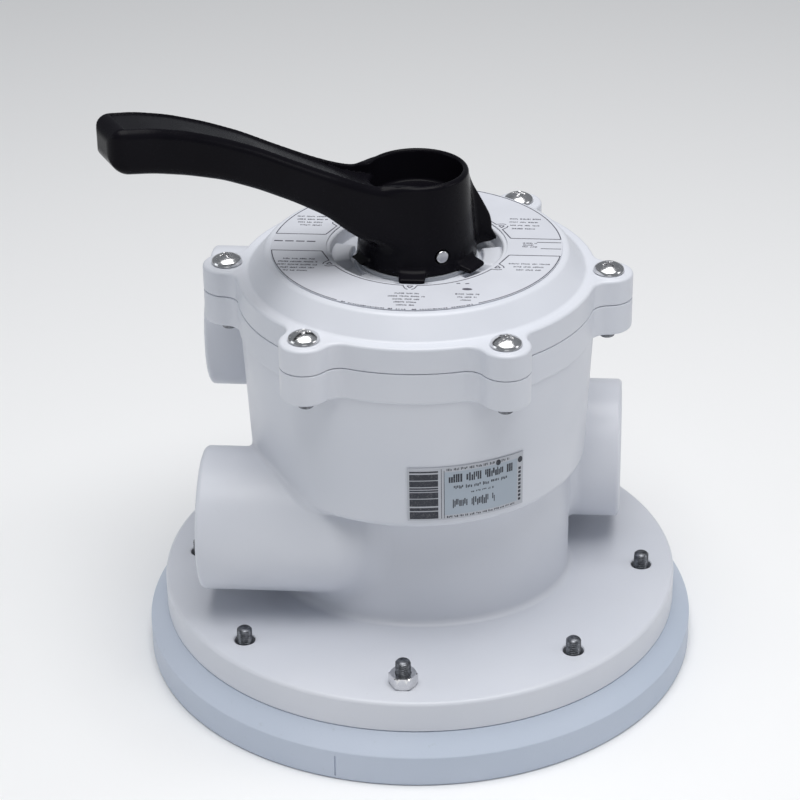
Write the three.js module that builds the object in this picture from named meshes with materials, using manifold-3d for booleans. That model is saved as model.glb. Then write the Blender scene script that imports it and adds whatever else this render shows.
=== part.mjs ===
// Six-way multiport valve on its bolted tank ring, for a pool sand filter.
// Millimetres, +Z up. The origin is the centre of the tank ring's underside.
import * as THREE from 'three';
import { mergeVertices } from 'three/addons/utils/BufferGeometryUtils.js';
import Module from 'manifold-3d';

const wasm = await Module();
wasm.setup();

// ---- Driving dimensions ----
const gap = 0.3; // air between pieces that touch
const degree = Math.PI / 180;
const fine = 48; // sides of the large round walls
const medium = 24; // sides of ports and hubs
const small = 12; // sides of fasteners
const beyond = 200; // past every wall, for the far side of a cutting tool

const ring = { outer: 147, bore: 92, side: 16.7, top: 26.1, shoulder: 137.6 };
const seal = { radius: 100.5, section: 2.4, groove: 3.2, depth: 5.2 };
const flange = { radius: 137.6, bottom: ring.top + gap, top: 43.3, round: 1.6 };
const spigot = { radius: 89, bore: 80, bottom: 12, roof: 36 };
const stud = { count: 8, circle: 120, radius: 4, foot: 8, stand: 7.2, frontStand: 14 };
const studHole = { radius: 5.5, sink: 7.4, sinkDepth: 2 };
const hexNut = { acrossFlats: 13, height: 6.5 };

const waist = { alongX: 80.3, alongY: 66.7, wall: 6, floor: 50 };
const chamber = { bottom: 114.7, top: 187.6, lowRadius: 87.6, topRadius: 91.2, round: 3.5 };
const plate = { bottom: chamber.bottom, top: 126 };
const chamberBore = { low: 82, high: 84 };
const riser = { outer: 40, bore: 31.6, neck: 20 };
const sector = { step: 60, wallHalf: 4, windowHalf: 24, windowIn: 30, windowOut: 72 };

const rim = { radius: 92.3, lobes: 6, lobeCircle: 98, lobeRadius: 12.5, neck: 9 };
const bodyRim = { bottom: chamber.top, top: 204.3 };
const lidRim = { bottom: bodyRim.top + gap, top: 218.4 };
const lid = {
  shoulder: 86.5, crown: 76, crownRound: 3.5, plane: 229.9, recess: 44, channel: 222, seat: 224.1,
  seatRadius: 32, bossRadius: 17, bossBottom: 197, bore: 10.4, ceiling: 214, highCeiling: 221, wall: 5,
};
const tooth = { inner: 34, top: 225.6, halfGap: 13, root: 0.5 };
const lidSeal = { radius: 87.5, section: 1.6, groove: 2.1, depth: 3.6 };
const screw = {
  radius: 4, head: 8, headHeight: 4.4, edge: 1.4, shoulder: 3.6, flat: 3.8, end: 187.4, hole: 4.4,
};

const port = { radius: 37.5, bore: 31.5, passage: 26, depth: 38, round: 2.2 };
const portReach = { front: 109.5, rear: 107.4, pump: 114.7 };
const portOffset = { lower: 42.7, pump: 52 };
const portHeight = { lower: 91.2, pump: 162 };

const shaft = { radius: 10, top: 246, ringCircle: 8.85, ringSection: 1.25, grooves: [201, 208.5] };
const rotor = {
  radius: 79.3, bottom: 128.6, edge: 136, seatRadius: 28, seat: 171, coneTop: 166, linkHalf: 54, linkDepth: 9,
};
const gasket = { bottom: 126.3, top: 128.3, outer: 79, band: 4.5, spoke: 6, eye: 26 };
const spring = { radius: 22, wire: 2.1, turns: 5, bottom: 173.1, top: 211.9 };
const seatWasher = { inner: 18, outer: 26, thickness: 1.5 };
const slideWasher = { inner: 11, outer: 31, bottom: 224.4, top: 226.4 };

const pin = { radius: 3.3, hole: 3.6, height: 236.1, halfLength: 30.2 };
const leverTurn = 210 * degree; // direction of the lever about Z
const hub = { low: 30.7, high: 26.4, bottom: 226.7, top: 273.5, dish: 23.6, dishDepth: 4, dishRise: 9 };
const hubSlot = { halfLength: 15, halfWidth: 10.6, top: 253 };
// Three lugs under the hub point into neighbouring index notches; each has a sloping top.
// The one under the lever starts higher, so that it clears the slide washer when the lever is pressed.
const lug = {
  root: 12, reach: 37, halfWidth: 7, bottom: 226, underLever: 228.4, shoulder: 229.5, top: 243, inner: 28,
  turns: [leverTurn, 270 * degree, 330 * degree],
};
const slideRelief = slideWasher.outer + 1.5; // room for the washer under the lug
const leverCorner = 0.32; // 1 is an ellipse, 0 a sharp rectangle
// Lever stations: distance from the axis, underside, top side, half width.
const leverStations = [
  [0, 244, 266, 26],
  [16, 244, 271.5, 24.5],
  [27, 244, 275.6, 21],
  [36, 245, 278.8, 17.6],
  [44, 252.4, 282, 15.6],
  [54, 262, 286.6, 14.8],
  [71, 273, 296, 14.6],
  [90, 283.8, 306.7, 14.6],
  [108, 292.4, 315, 14.6],
  [126, 298.3, 322, 14.6],
  [143, 302.9, 326.5, 14.4],
  [153, 306.2, 328, 12.6],
  [159.6, 310.4, 327, 9],
  [163.2, 314.6, 324.5, 4.6],
];
const heel = {
  halfWidth: 8,
  outline: [[12, 228], [43, 228], [42.6, 230], [40.2, 234], [39.5, 244.7], [32, 256.3], [25, 271], [12, 271]],
};

const dialLabel = { inner: 46, outer: 74.3, thickness: 0.5 };
const bodyLabel = { from: -89.5, to: -50, low: 120, high: 151, thickness: 0.4 };
const gauge = {
  turn: 62 * degree, height: 158, hole: 6.6, thread: 6.2, threadEnd: 83.6, head: 10, headDepth: 6,
  sealDepth: 1.6, sealOuter: 9.4, sealStand: 0.8,
};

// ---- Finishes ----
const finish = (color, roughness, metalness = 0) =>
  new THREE.MeshStandardMaterial({ color, roughness, metalness, flatShading: true });
const whitePlastic = finish(0xe6e9ef, 0.42);
const ringPlastic = finish(0xc3d0da, 0.5);
const blackPlastic = finish(0x141417, 0.35);
const greyPlastic = finish(0xb9bdc4, 0.5);
const rubber = finish(0x1b1b1d, 0.8);
const steel = finish(0xb8babd, 0.3, 1);
const labelFilm = finish(0xe9ebee, 0.45);

// ---- Shaping helpers ----
function toSolid(geometry) {
  const bare = geometry.clone();
  bare.deleteAttribute('normal');
  bare.deleteAttribute('uv');
  const merged = mergeVertices(bare, 1e-4);
  const corners = merged.index.array;
  const kept = [];
  for (let i = 0; i < corners.length; i += 3) {
    const [a, b, c] = corners.slice(i, i + 3);
    if (a !== b && b !== c && c !== a) kept.push(a, b, c);
  }
  const vertProperties = new Float32Array(merged.attributes.position.array);
  return new wasm.Manifold(new wasm.Mesh({ numProp: 3, vertProperties, triVerts: new Uint32Array(kept) }));
}

function toGeometry(solid) {
  const { vertProperties, triVerts } = solid.getMesh();
  const geometry = new THREE.BufferGeometry();
  geometry.setAttribute('position', new THREE.BufferAttribute(vertProperties, 3));
  geometry.setIndex(new THREE.BufferAttribute(triVerts, 1));
  geometry.computeVertexNormals();
  return geometry;
}

const join = (solids) => solids.reduce((all, next) => all.add(next));
const cut = (solid, tools) => solid.subtract(join(tools));

// A closed profile of [radius, z] points, counter-clockwise, turned about Z.
function turned(profile, sides) {
  const points = profile.map(([radius, z]) => new THREE.Vector2(radius, z));
  if (profile[0][0] > 0) points.push(points[0].clone());
  return new THREE.LatheGeometry(points, sides).rotateX(Math.PI / 2);
}

const disc = (radius, low, high, sides) =>
  turned([[0, low], [radius, low], [radius, high], [0, high]], sides);

const tube = (inner, outer, low, high, sides) =>
  turned([[inner, low], [outer, low], [outer, high], [inner, high]], sides);

// A flat outline between two heights.
const prism = (shape, low, high, curveSegments = 12) =>
  new THREE.ExtrudeGeometry(shape, { depth: high - low, bevelEnabled: false, curveSegments })
    .translate(0, 0, low);

// A round bar along X between two stations.
function barX(radius, from, to, y, z, sides = medium) {
  return new THREE.CylinderGeometry(radius, radius, to - from, sides)
    .rotateZ(Math.PI / 2)
    .translate((from + to) / 2, y, z);
}

const block = (x, y, z) => new THREE.BoxGeometry(x, y, z);

function onCircle(geometry, radius, angle) {
  return geometry.translate(radius * Math.cos(angle), radius * Math.sin(angle), 0);
}

const everyTurn = (count, first = 0) =>
  Array.from({ length: count }, (_, i) => first + (i * 2 * Math.PI) / count);

// A wedge of a ring, about Z: an outline between two radii and two angles.
function wedge(inner, outer, from, to) {
  const shape = new THREE.Shape();
  shape.absarc(0, 0, outer, from, to, false);
  if (inner > 0) shape.absarc(0, 0, inner, to, from, true);
  else shape.lineTo(0, 0);
  shape.closePath();
  return shape;
}

// A ring section swept round Z, as an O-ring lies.
const ringSeal = (radius, section, z, sides) =>
  new THREE.TorusGeometry(radius, section, 6, sides).translate(0, 0, z);

// A skin through equal closed loops of points, closed at both ends.
function loft(loops) {
  const count = loops[0].length;
  const points = loops.flat();
  const index = [];
  for (let j = 0; j < loops.length - 1; j += 1) {
    for (let i = 0; i < count; i += 1) {
      const next = (i + 1) % count;
      const [a, b, c, d] = [j * count + i, j * count + next, (j + 1) * count + next, (j + 1) * count + i];
      index.push(a, b, c, a, c, d);
    }
  }
  const last = (loops.length - 1) * count;
  for (let i = 1; i < count - 1; i += 1) {
    index.push(0, i + 1, i, last, last + i, last + i + 1);
  }
  const geometry = new THREE.BufferGeometry().setFromPoints(points);
  geometry.setIndex(index);
  return geometry;
}

// ---- Outlines ----
// A circle with round screw lobes, each joined to it by two hollow fillets.
function lobedRim() {
  const reach = rim.radius + rim.neck;
  const span = rim.lobeRadius + rim.neck;
  const swing = Math.acos((rim.lobeCircle ** 2 + reach ** 2 - span ** 2) / (2 * rim.lobeCircle * reach));
  const shape = new THREE.Shape();
  for (const turn of everyTurn(rim.lobes)) {
    const lobe = new THREE.Vector2(rim.lobeCircle, 0).rotateAround(new THREE.Vector2(), turn);
    const before = new THREE.Vector2(reach, 0).rotateAround(new THREE.Vector2(), turn - swing);
    const after = new THREE.Vector2(reach, 0).rotateAround(new THREE.Vector2(), turn + swing);
    const entry = before.clone().sub(lobe).angle();
    const exit = after.clone().sub(lobe).angle();
    shape.absarc(before.x, before.y, rim.neck, turn - swing + Math.PI, entry + Math.PI, true);
    shape.absarc(lobe.x, lobe.y, rim.lobeRadius, entry, exit, false);
    shape.absarc(after.x, after.y, rim.neck, exit + Math.PI, turn + swing + Math.PI, true);
    const arcEnd = turn + (2 * Math.PI) / rim.lobes - swing;
    shape.absarc(0, 0, rim.radius, turn + swing, arcEnd, false);
  }
  return shape;
}

const lobeAngles = everyTurn(rim.lobes);
const studAngles = everyTurn(stud.count);

// ---- Ports ----
// Each port: direction along X, offset, height, and where its mouth, its rounded root and its passage end.
const lowerPort = { z: portHeight.lower, root: 45, inner: 40 };
const returnPort = { ...lowerPort, side: -1, y: -portOffset.lower, reach: portReach.front };
const wastePort = { ...lowerPort, side: 1, y: portOffset.lower, reach: portReach.rear };
const upperPort = { z: portHeight.pump, root: 30, inner: 40 };
const pumpPort = { ...upperPort, side: -1, y: portOffset.pump, reach: portReach.pump };
const lowerPorts = [returnPort, wastePort];
const ports = [...lowerPorts, pumpPort];

function portOutside({ side, y, z, reach, root }) {
  const tip = reach - port.round;
  const profile = [[0, root], [port.radius, root], [port.radius, tip], [port.radius - port.round, reach],
    [0, reach]];
  const stem = turned(profile, medium).rotateY((side * Math.PI) / 2).translate(0, y, z);
  const end = new THREE.SphereGeometry(port.radius, medium, 14)
    .rotateX(Math.PI / 2)
    .translate(side * root, y, z);
  return toSolid(stem).add(toSolid(end));
}

function portInside({ side, y, z, reach, inner }) {
  const floor = reach - port.depth;
  const profile = [[0, inner], [port.passage, inner], [port.passage, floor], [port.bore, floor],
    [port.bore, reach + 1], [0, reach + 1]];
  return toSolid(turned(profile, medium).rotateY((side * Math.PI) / 2).translate(0, y, z));
}

// Everything beyond a port's socket floor, less a margin on the body's side.
function beyondFloor({ side, y, z, reach }, margin) {
  const from = reach - port.depth - margin;
  return toSolid(block(beyond, beyond, beyond).translate(side * (from + beyond / 2), y, z));
}

const portRoot = (one) => portOutside(one).subtract(beyondFloor(one, gap));

// ---- Valve body ----
const chamberDraft = (chamber.topRadius - chamber.lowRadius) / (chamber.top - chamber.bottom);
const chamberRadius = (z) => chamber.lowRadius + chamberDraft * (z - chamber.bottom);

function chamberOutside() {
  const wall = [[0, chamber.bottom], [chamber.lowRadius - chamber.round, chamber.bottom],
    [chamberRadius(chamber.bottom + chamber.round), chamber.bottom + chamber.round],
    [chamber.topRadius, chamber.top], [chamber.topRadius, chamber.top + 1], [0, chamber.top + 1]];
  return toSolid(turned(wall, fine)).add(toSolid(prism(lobedRim(), bodyRim.bottom, bodyRim.top, 3)));
}

// The chamber and its rim with a little air round them, which the pieces beside them are cut by.
function chamberRoom() {
  const wall = [[0, chamber.bottom - gap], [chamber.lowRadius + gap, chamber.bottom - gap],
    [chamber.topRadius + gap, chamber.top - gap], [rim.radius + gap, chamber.top - gap],
    [rim.radius + gap, bodyRim.top + 1], [0, bodyRim.top + 1]];
  return toSolid(turned(wall, fine));
}

function ellipticPrism(shrink, low, high) {
  const flat = (waist.alongY - shrink) / (waist.alongX - shrink);
  return toSolid(disc(waist.alongX - shrink, low, high, fine).scale(1, flat, 1));
}

// A slice of the lower passages, its middle and half width in degrees.
function passage(middle, half, low, high) {
  const slice = prism(wedge(0, beyond, (middle - half) * degree, (middle + half) * degree), low, high, 16);
  return cut(ellipticPrism(waist.wall, low, high), [toSolid(disc(riser.outer, low - 1, high + 1, medium))])
    .intersect(toSolid(slice));
}

const sideHalf = sector.step / 2 - sector.wallHalf;
const sidePassages = () => [0, 180].map((middle) =>
  passage(middle, sideHalf, spigot.bottom - 1, plate.bottom));
const portPassages = () => [-90, 90].map((middle) =>
  passage(middle, sector.step - sector.wallHalf, waist.floor, plate.bottom));
const riserHole = () => toSolid(disc(riser.outer + gap, spigot.bottom - 1, chamber.bottom, medium));

function plateWindows() {
  return everyTurn(360 / sector.step).map((turn) => {
    const half = sector.windowHalf * degree;
    return toSolid(prism(wedge(sector.windowIn, sector.windowOut, turn - half, turn + half),
      chamber.bottom - 1, plate.top + 1, 5));
  });
}

function hexPrism(acrossFlats, low, high) {
  return new THREE.CylinderGeometry(acrossFlats / Math.sqrt(3), acrossFlats / Math.sqrt(3), high - low, 6)
    .rotateX(Math.PI / 2)
    .translate(0, 0, (low + high) / 2);
}

function rimFastenerHoles() {
  const hole = (angle) => toSolid(
    onCircle(disc(screw.hole, screw.end - 1, lid.plane, small), rim.lobeCircle, angle));
  const pocket = (angle) => toSolid(onCircle(
    hexPrism(hexNut.acrossFlats + 2 * gap, chamber.top - 1, chamber.top + hexNut.height + 2 * gap)
      .rotateZ(angle), rim.lobeCircle, angle));
  return { holes: lobeAngles.map(hole), pockets: lobeAngles.map(pocket) };
}

// The upper moulding: chamber, lobed rim, window plate and the root of the pump port.
function valveBody() {
  const bore = [[0, plate.top], [chamberBore.low, plate.top], [chamberBore.high, bodyRim.top],
    [chamberBore.high, bodyRim.top + 1], [0, bodyRim.top + 1]];
  const grooveFloor = bodyRim.top - lidSeal.depth;
  const { holes, pockets } = rimFastenerHoles();
  return cut(chamberOutside().add(portRoot(pumpPort)), [
    toSolid(turned(bore, fine)),
    ...plateWindows(),
    toSolid(disc(riser.neck, chamber.bottom - 1, plate.top + 1, medium)),
    ...ports.map(portInside),
    toSolid(tube(lidSeal.radius - lidSeal.groove, lidSeal.radius + lidSeal.groove, grooveFloor,
      bodyRim.top + 1, fine)),
    ...holes,
    ...pockets,
    toSolid(barX(gauge.hole, chamberBore.low - 4, beyond, 0, gauge.height, small).rotateZ(gauge.turn)),
  ]);
}

// The lower moulding: the waist, its four inner walls and the roots of the two lower ports.
function portBody() {
  const waistOutside = ellipticPrism(0, flange.top + gap, chamber.bottom - gap);
  return cut(join([waistOutside, ...lowerPorts.map(portRoot)]), [
    chamberRoom(),
    riserHole(),
    ...sidePassages(),
    ...portPassages(),
    ...lowerPorts.map(portInside),
  ]);
}

// The bolted flange with the spigot that centres it in the tank ring.
function mountingFlange() {
  const profile = [[0, spigot.roof], [spigot.bore, spigot.roof], [spigot.bore, spigot.bottom],
    [spigot.radius, spigot.bottom], [spigot.radius, flange.bottom], [flange.radius, flange.bottom],
    [flange.radius, flange.top - flange.round], [flange.radius - flange.round, flange.top],
    [0, flange.top]];
  return cut(toSolid(turned(profile, fine)), [riserHole(), ...sidePassages(), ...studHoles()]);
}

function studHoles() {
  const sinkFrom = flange.top - studHole.sinkDepth;
  const profile = [[0, flange.bottom - 1], [studHole.radius, flange.bottom - 1], [studHole.radius, sinkFrom],
    [studHole.sink, flange.top], [studHole.sink, flange.top + 1], [0, flange.top + 1]];
  return studAngles.map((angle) => toSolid(onCircle(turned(profile, small), stud.circle, angle)));
}

// The sleeve that takes the pipe, from the socket's floor to the port's mouth.
function portSleeve(one) {
  const waistRoom = ellipticPrism(-gap, flange.top, chamber.bottom);
  return cut(portOutside(one).intersect(beyondFloor(one, 0)), [portInside(one), chamberRoom(), waistRoom]);
}

const riserTube = () => tube(riser.bore, riser.outer, spigot.bottom, chamber.bottom - gap, medium);

// ---- Tank ring, its seal, studs and nut ----
function tankRing() {
  const section = [[ring.bore, 0], [ring.outer, 0], [ring.outer, ring.side], [ring.shoulder, ring.top],
    [ring.bore, ring.top]];
  const groove = tube(seal.radius - seal.groove, seal.radius + seal.groove, ring.top - seal.depth,
    ring.top + 1, fine);
  const sockets = studAngles.map((angle) =>
    toSolid(onCircle(disc(stud.radius + gap, stud.foot - gap, ring.top + 1, small), stud.circle, angle)));
  return cut(toSolid(turned(section, fine)), [toSolid(groove), ...sockets]);
}

function threadedRod(radius, low, high) {
  const chamfer = radius / 4;
  const profile = [[0, low], [radius, low], [radius, high - chamfer], [radius - chamfer, high], [0, high]];
  return turned(profile, small);
}

function nut(low, angle, circle) {
  const body = toSolid(hexPrism(hexNut.acrossFlats, low, low + hexNut.height).rotateZ(angle));
  const bore = toSolid(disc(stud.radius + gap, low - 1, low + hexNut.height + 1, small));
  return onCircle(toGeometry(body.subtract(bore)), circle, angle);
}

// ---- Lid ----
function lidShell() {
  const dome = [[0, lidRim.top - 1], [lid.shoulder, lidRim.top - 1], [lid.shoulder, lidRim.top],
    [lid.crown + lid.crownRound, lid.plane - 2], [lid.crown, lid.plane], [0, lid.plane]];
  const hollow = [[lid.bossRadius, lidRim.bottom - 1], [chamberBore.high, lidRim.bottom - 1],
    [chamberBore.high - 3, lidRim.top - 3], [lid.crown - lid.wall, lid.highCeiling],
    [lid.recess + lid.wall, lid.highCeiling],
    [lid.recess, lid.ceiling], [lid.bossRadius, lid.ceiling]];
  const well = [[0, lid.seat], [lid.seatRadius, lid.seat], [lid.seatRadius, lid.channel],
    [lid.recess, lid.channel], [lid.recess, lid.plane + 1], [0, lid.plane + 1]];
  const boss = toSolid(disc(lid.bossRadius, lid.bossBottom, lid.seat, medium));
  const bore = toSolid(disc(lid.bore, lid.bossBottom - 1, lid.seat + 1, medium));
  const shell = join([toSolid(prism(lobedRim(), lidRim.bottom, lidRim.top, 3)), toSolid(turned(dome, fine))]);
  const opened = cut(shell, [
    toSolid(turned(hollow, fine)),
    toSolid(turned(well, fine)),
    ...rimFastenerHoles().holes,
  ]);
  return cut(join([opened, boss, ...indexTeeth()]), [bore]);
}

// Teeth between the six index notches; the first notch faces -Y.
function indexTeeth() {
  return everyTurn(rim.lobes, -90 * degree).map((notch) => {
    const from = notch + tooth.halfGap * degree;
    const to = notch + (sector.step - tooth.halfGap) * degree;
    const outline = wedge(tooth.inner, lid.recess + tooth.root, from, to);
    return toSolid(prism(outline, lid.channel - tooth.root, tooth.top, 4));
  });
}

function panScrew(angle) {
  const under = lidRim.top + gap;
  const top = under + screw.headHeight;
  const profile = [[0, screw.end], [screw.radius, screw.end], [screw.radius, under], [screw.head, under],
    [screw.head, under + screw.edge], [screw.head - screw.edge, under + screw.shoulder], [screw.flat, top],
    [0, top]];
  return onCircle(turned(profile, small), rim.lobeCircle, angle);
}

// ---- Inside the chamber ----
function spiderGasket() {
  const outerBand = toSolid(tube(gasket.outer - gasket.band, gasket.outer, gasket.bottom, gasket.top, fine));
  const eye = toSolid(tube(gasket.eye - gasket.band, gasket.eye, gasket.bottom, gasket.top, medium));
  const length = gasket.outer - gasket.eye + 1;
  const middle = (gasket.outer + gasket.eye) / 2 - gasket.band / 2;
  const spokes = everyTurn(6, 30 * degree).map((turn) => toSolid(
    block(length, gasket.spoke, gasket.top - gasket.bottom)
      .translate(middle, 0, (gasket.top + gasket.bottom) / 2).rotateZ(turn)));
  return join([outerBand, eye, ...spokes]);
}

function rotorSolid() {
  const grooves = shaft.grooves.map((z) => toSolid(tube(shaft.ringCircle - shaft.ringSection - gap,
    shaft.radius + 1, z - shaft.ringSection - gap, z + shaft.ringSection + gap, medium)));
  const profile = [[0, rotor.bottom], [rotor.radius, rotor.bottom], [rotor.radius, rotor.edge],
    [rotor.seatRadius, rotor.coneTop], [rotor.seatRadius, rotor.seat], [shaft.radius, rotor.seat],
    [shaft.radius, shaft.top - 1.5], [shaft.radius - 1.5, shaft.top], [0, shaft.top]];
  const half = sector.windowHalf * degree;
  const through = prism(wedge(sector.windowIn, sector.windowOut, leverTurn - half, leverTurn + half),
    rotor.bottom - 1, rotor.seat, 5);
  const linkHalf = rotor.linkHalf * degree;
  const link = prism(wedge(0, sector.windowOut, -linkHalf, linkHalf), rotor.bottom - 1,
    rotor.bottom + rotor.linkDepth, 10).rotateZ(leverTurn + Math.PI);
  return cut(toSolid(turned(profile, fine)), [toSolid(through), toSolid(link), pinHole(), ...grooves]);
}

function coilSpring() {
  class Helix extends THREE.Curve {
    getPoint(t, target = new THREE.Vector3()) {
      const turn = t * spring.turns * 2 * Math.PI;
      const low = spring.bottom + spring.wire;
      const high = spring.top - spring.wire;
      const { radius } = spring;
      return target.set(radius * Math.cos(turn), radius * Math.sin(turn), low + t * (high - low));
    }
  }
  const section = new THREE.Shape().absarc(0, 0, spring.wire, 0, 2 * Math.PI, false);
  const steps = spring.turns * 12;
  return new THREE.ExtrudeGeometry(section, { steps, curveSegments: 3, extrudePath: new Helix() });
}

// ---- Handle ----
// The pin lies across the lever.
function acrossLever(radius, halfLength) {
  return barX(radius, -halfLength, halfLength, 0, pin.height, small).rotateZ(leverTurn + Math.PI / 2);
}

const pinHole = () => toSolid(acrossLever(pin.hole, beyond));

function leverBar() {
  const sides = 16;
  const loops = leverStations.map(([out, low, high, halfWidth]) => {
    const middle = (low + high) / 2;
    const halfHeight = (high - low) / 2;
    return everyTurn(sides, Math.PI / sides).map((turn) => {
      const across = Math.sign(Math.cos(turn)) * Math.abs(Math.cos(turn)) ** leverCorner;
      const up = Math.sign(Math.sin(turn)) * Math.abs(Math.sin(turn)) ** leverCorner;
      return new THREE.Vector3(out, across * halfWidth, middle + up * halfHeight);
    });
  });
  return toSolid(loft(loops).rotateZ(leverTurn));
}

function heelFin() {
  const shape = new THREE.Shape(heel.outline.map(([out, z]) => new THREE.Vector2(out, z)));
  return toSolid(prism(shape, -heel.halfWidth, heel.halfWidth)
    .rotateX(Math.PI / 2)
    .rotateZ(leverTurn + Math.PI));
}

function indexLug(turn) {
  const { root, inner, reach, shoulder, top } = lug;
  const bottom = turn === leverTurn ? lug.underLever : lug.bottom;
  const outline = [[root, bottom], [reach, bottom], [reach, shoulder], [inner, top], [root, top]];
  const shape = new THREE.Shape(outline.map(([out, z]) => new THREE.Vector2(out, z)));
  return toSolid(prism(shape, -lug.halfWidth, lug.halfWidth).rotateX(Math.PI / 2).rotateZ(turn));
}

function handleSolid() {
  const hubProfile = [[0, hub.bottom], [hub.low - 1, hub.bottom], [hub.low, hub.bottom + 1],
    [hub.high, hub.top - 2], [hub.high - 1.5, hub.top], [0, hub.top]];
  const dish = [[0, hub.top - hub.dishDepth], [hub.dish - 2, hub.top - hub.dishDepth],
    [hub.dish, hub.top + hub.dishRise], [0, hub.top + hub.dishRise]];
  const slot = block(2 * hubSlot.halfLength, 2 * hubSlot.halfWidth, hubSlot.top - lug.bottom + 2)
    .translate(0, 0, (hubSlot.top + lug.bottom - 2) / 2)
    .rotateZ(leverTurn);
  const under = disc(slideRelief, lug.bottom - 1, hub.bottom, medium);
  const hubSolid = toSolid(turned(hubProfile, medium));
  const solid = join([hubSolid, leverBar(), heelFin(), ...lug.turns.map(indexLug)]);
  return cut(solid, [toSolid(slot), toSolid(turned(dish, medium)), toSolid(under), pinHole()]);
}

// ---- Labels and gauge plug ----
function bodyLabelSkin() {
  const { low, high, thickness } = bodyLabel;
  const back = (z) => [chamberRadius(z) + gap, z];
  const face = (z) => [chamberRadius(z) + gap + thickness, z];
  const profile = [back(low), face(low), face(high), back(high)];
  const outline = wedge(0, beyond, bodyLabel.from * degree, bodyLabel.to * degree);
  const slice = prism(outline, low - 1, high + 1, 12);
  return toSolid(turned(profile, 2 * fine)).intersect(toSolid(slice));
}

const gaugeSealFrom = chamberRadius(gauge.height) + gauge.sealStand;
const gaugeHeadFrom = gaugeSealFrom + gauge.sealDepth + gap;

function gaugePlug() {
  const thread = toSolid(barX(gauge.thread, gauge.threadEnd, gaugeHeadFrom + 1, 0, 0, small));
  const head = toSolid(hexPrism(2 * gauge.head, gaugeHeadFrom, gaugeHeadFrom + gauge.headDepth)
    .rotateY(Math.PI / 2));
  return toGeometry(join([thread, head])).translate(0, 0, gauge.height).rotateZ(gauge.turn);
}

function gaugeSeal() {
  return tube(gauge.thread + gap, gauge.sealOuter, gaugeSealFrom, gaugeSealFrom + gauge.sealDepth, small)
    .rotateY(Math.PI / 2)
    .translate(0, 0, gauge.height)
    .rotateZ(gauge.turn);
}

// ---- The assembly ----
const multiportValve = new THREE.Group();

function add(name, shape, material) {
  const geometry = shape instanceof THREE.BufferGeometry ? shape : toGeometry(shape);
  const mesh = new THREE.Mesh(geometry, material);
  mesh.name = name;
  multiportValve.add(mesh);
}

add('tank_ring', tankRing(), ringPlastic);
const tankSealHeight = ring.top - seal.depth + gap + seal.section;
add('tank_ring_seal', ringSeal(seal.radius, seal.section, tankSealHeight, fine), rubber);
add('mounting_flange', mountingFlange(), whitePlastic);
add('port_body', portBody(), whitePlastic);
add('riser_tube', riserTube(), whitePlastic);
add('valve_body', valveBody(), whitePlastic);
add('return_port', portSleeve(returnPort), whitePlastic);
add('waste_port', portSleeve(wastePort), whitePlastic);
add('pump_port', portSleeve(pumpPort), whitePlastic);
studAngles.forEach((angle, i) => {
  const stand = i === 6 ? stud.frontStand : stud.stand;
  const rod = threadedRod(stud.radius, stud.foot, flange.top + stand);
  add(`flange_stud_${i + 1}`, onCircle(rod, stud.circle, angle), steel);
});
add('flange_nut', nut(flange.top + gap, studAngles[6], stud.circle), steel);

const lidSealHeight = bodyRim.top - lidSeal.depth + gap + lidSeal.section;
add('lid_seal', ringSeal(lidSeal.radius, lidSeal.section, lidSealHeight, fine), rubber);
add('lid', lidShell(), whitePlastic);
lobeAngles.forEach((angle, i) => {
  add(`lid_screw_${i + 1}`, panScrew(angle), steel);
  add(`lid_nut_${i + 1}`, nut(chamber.top + gap, angle, rim.lobeCircle), steel);
});

add('spider_gasket', spiderGasket(), rubber);
add('rotor', rotorSolid(), greyPlastic);
shaft.grooves.forEach((z, i) => {
  add(`shaft_o_ring_${i + 1}`, ringSeal(shaft.ringCircle, shaft.ringSection, z, medium), rubber);
});
const springSeat = (low) => tube(seatWasher.inner, seatWasher.outer, low, low + seatWasher.thickness, medium);
add('spring_seat_lower', springSeat(rotor.seat + gap), steel);
add('spring', coilSpring(), steel);
add('spring_seat_upper', springSeat(lid.ceiling - gap - seatWasher.thickness), steel);

const washer = tube(slideWasher.inner, slideWasher.outer, slideWasher.bottom, slideWasher.top, medium);
add('slide_washer', washer, greyPlastic);
add('handle', handleSolid(), blackPlastic);
add('handle_pin', acrossLever(pin.radius, pin.halfLength), steel);

const dialLow = lid.plane + gap;
const dialFilm = tube(dialLabel.inner, dialLabel.outer, dialLow, dialLow + dialLabel.thickness, fine);
add('dial_label', dialFilm, labelFilm);
add('body_label', bodyLabelSkin(), labelFilm);
add('gauge_plug', gaugePlug(), whitePlastic);
add('gauge_seal', gaugeSeal(), rubber);

export default multiportValve;
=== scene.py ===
import itertools
import random
from math import acos, asin, atan2, cos, degrees, hypot, pi, radians, sin, sqrt, tan

import bmesh
import bpy
import numpy as np
from mathutils import Matrix, Vector


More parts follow.
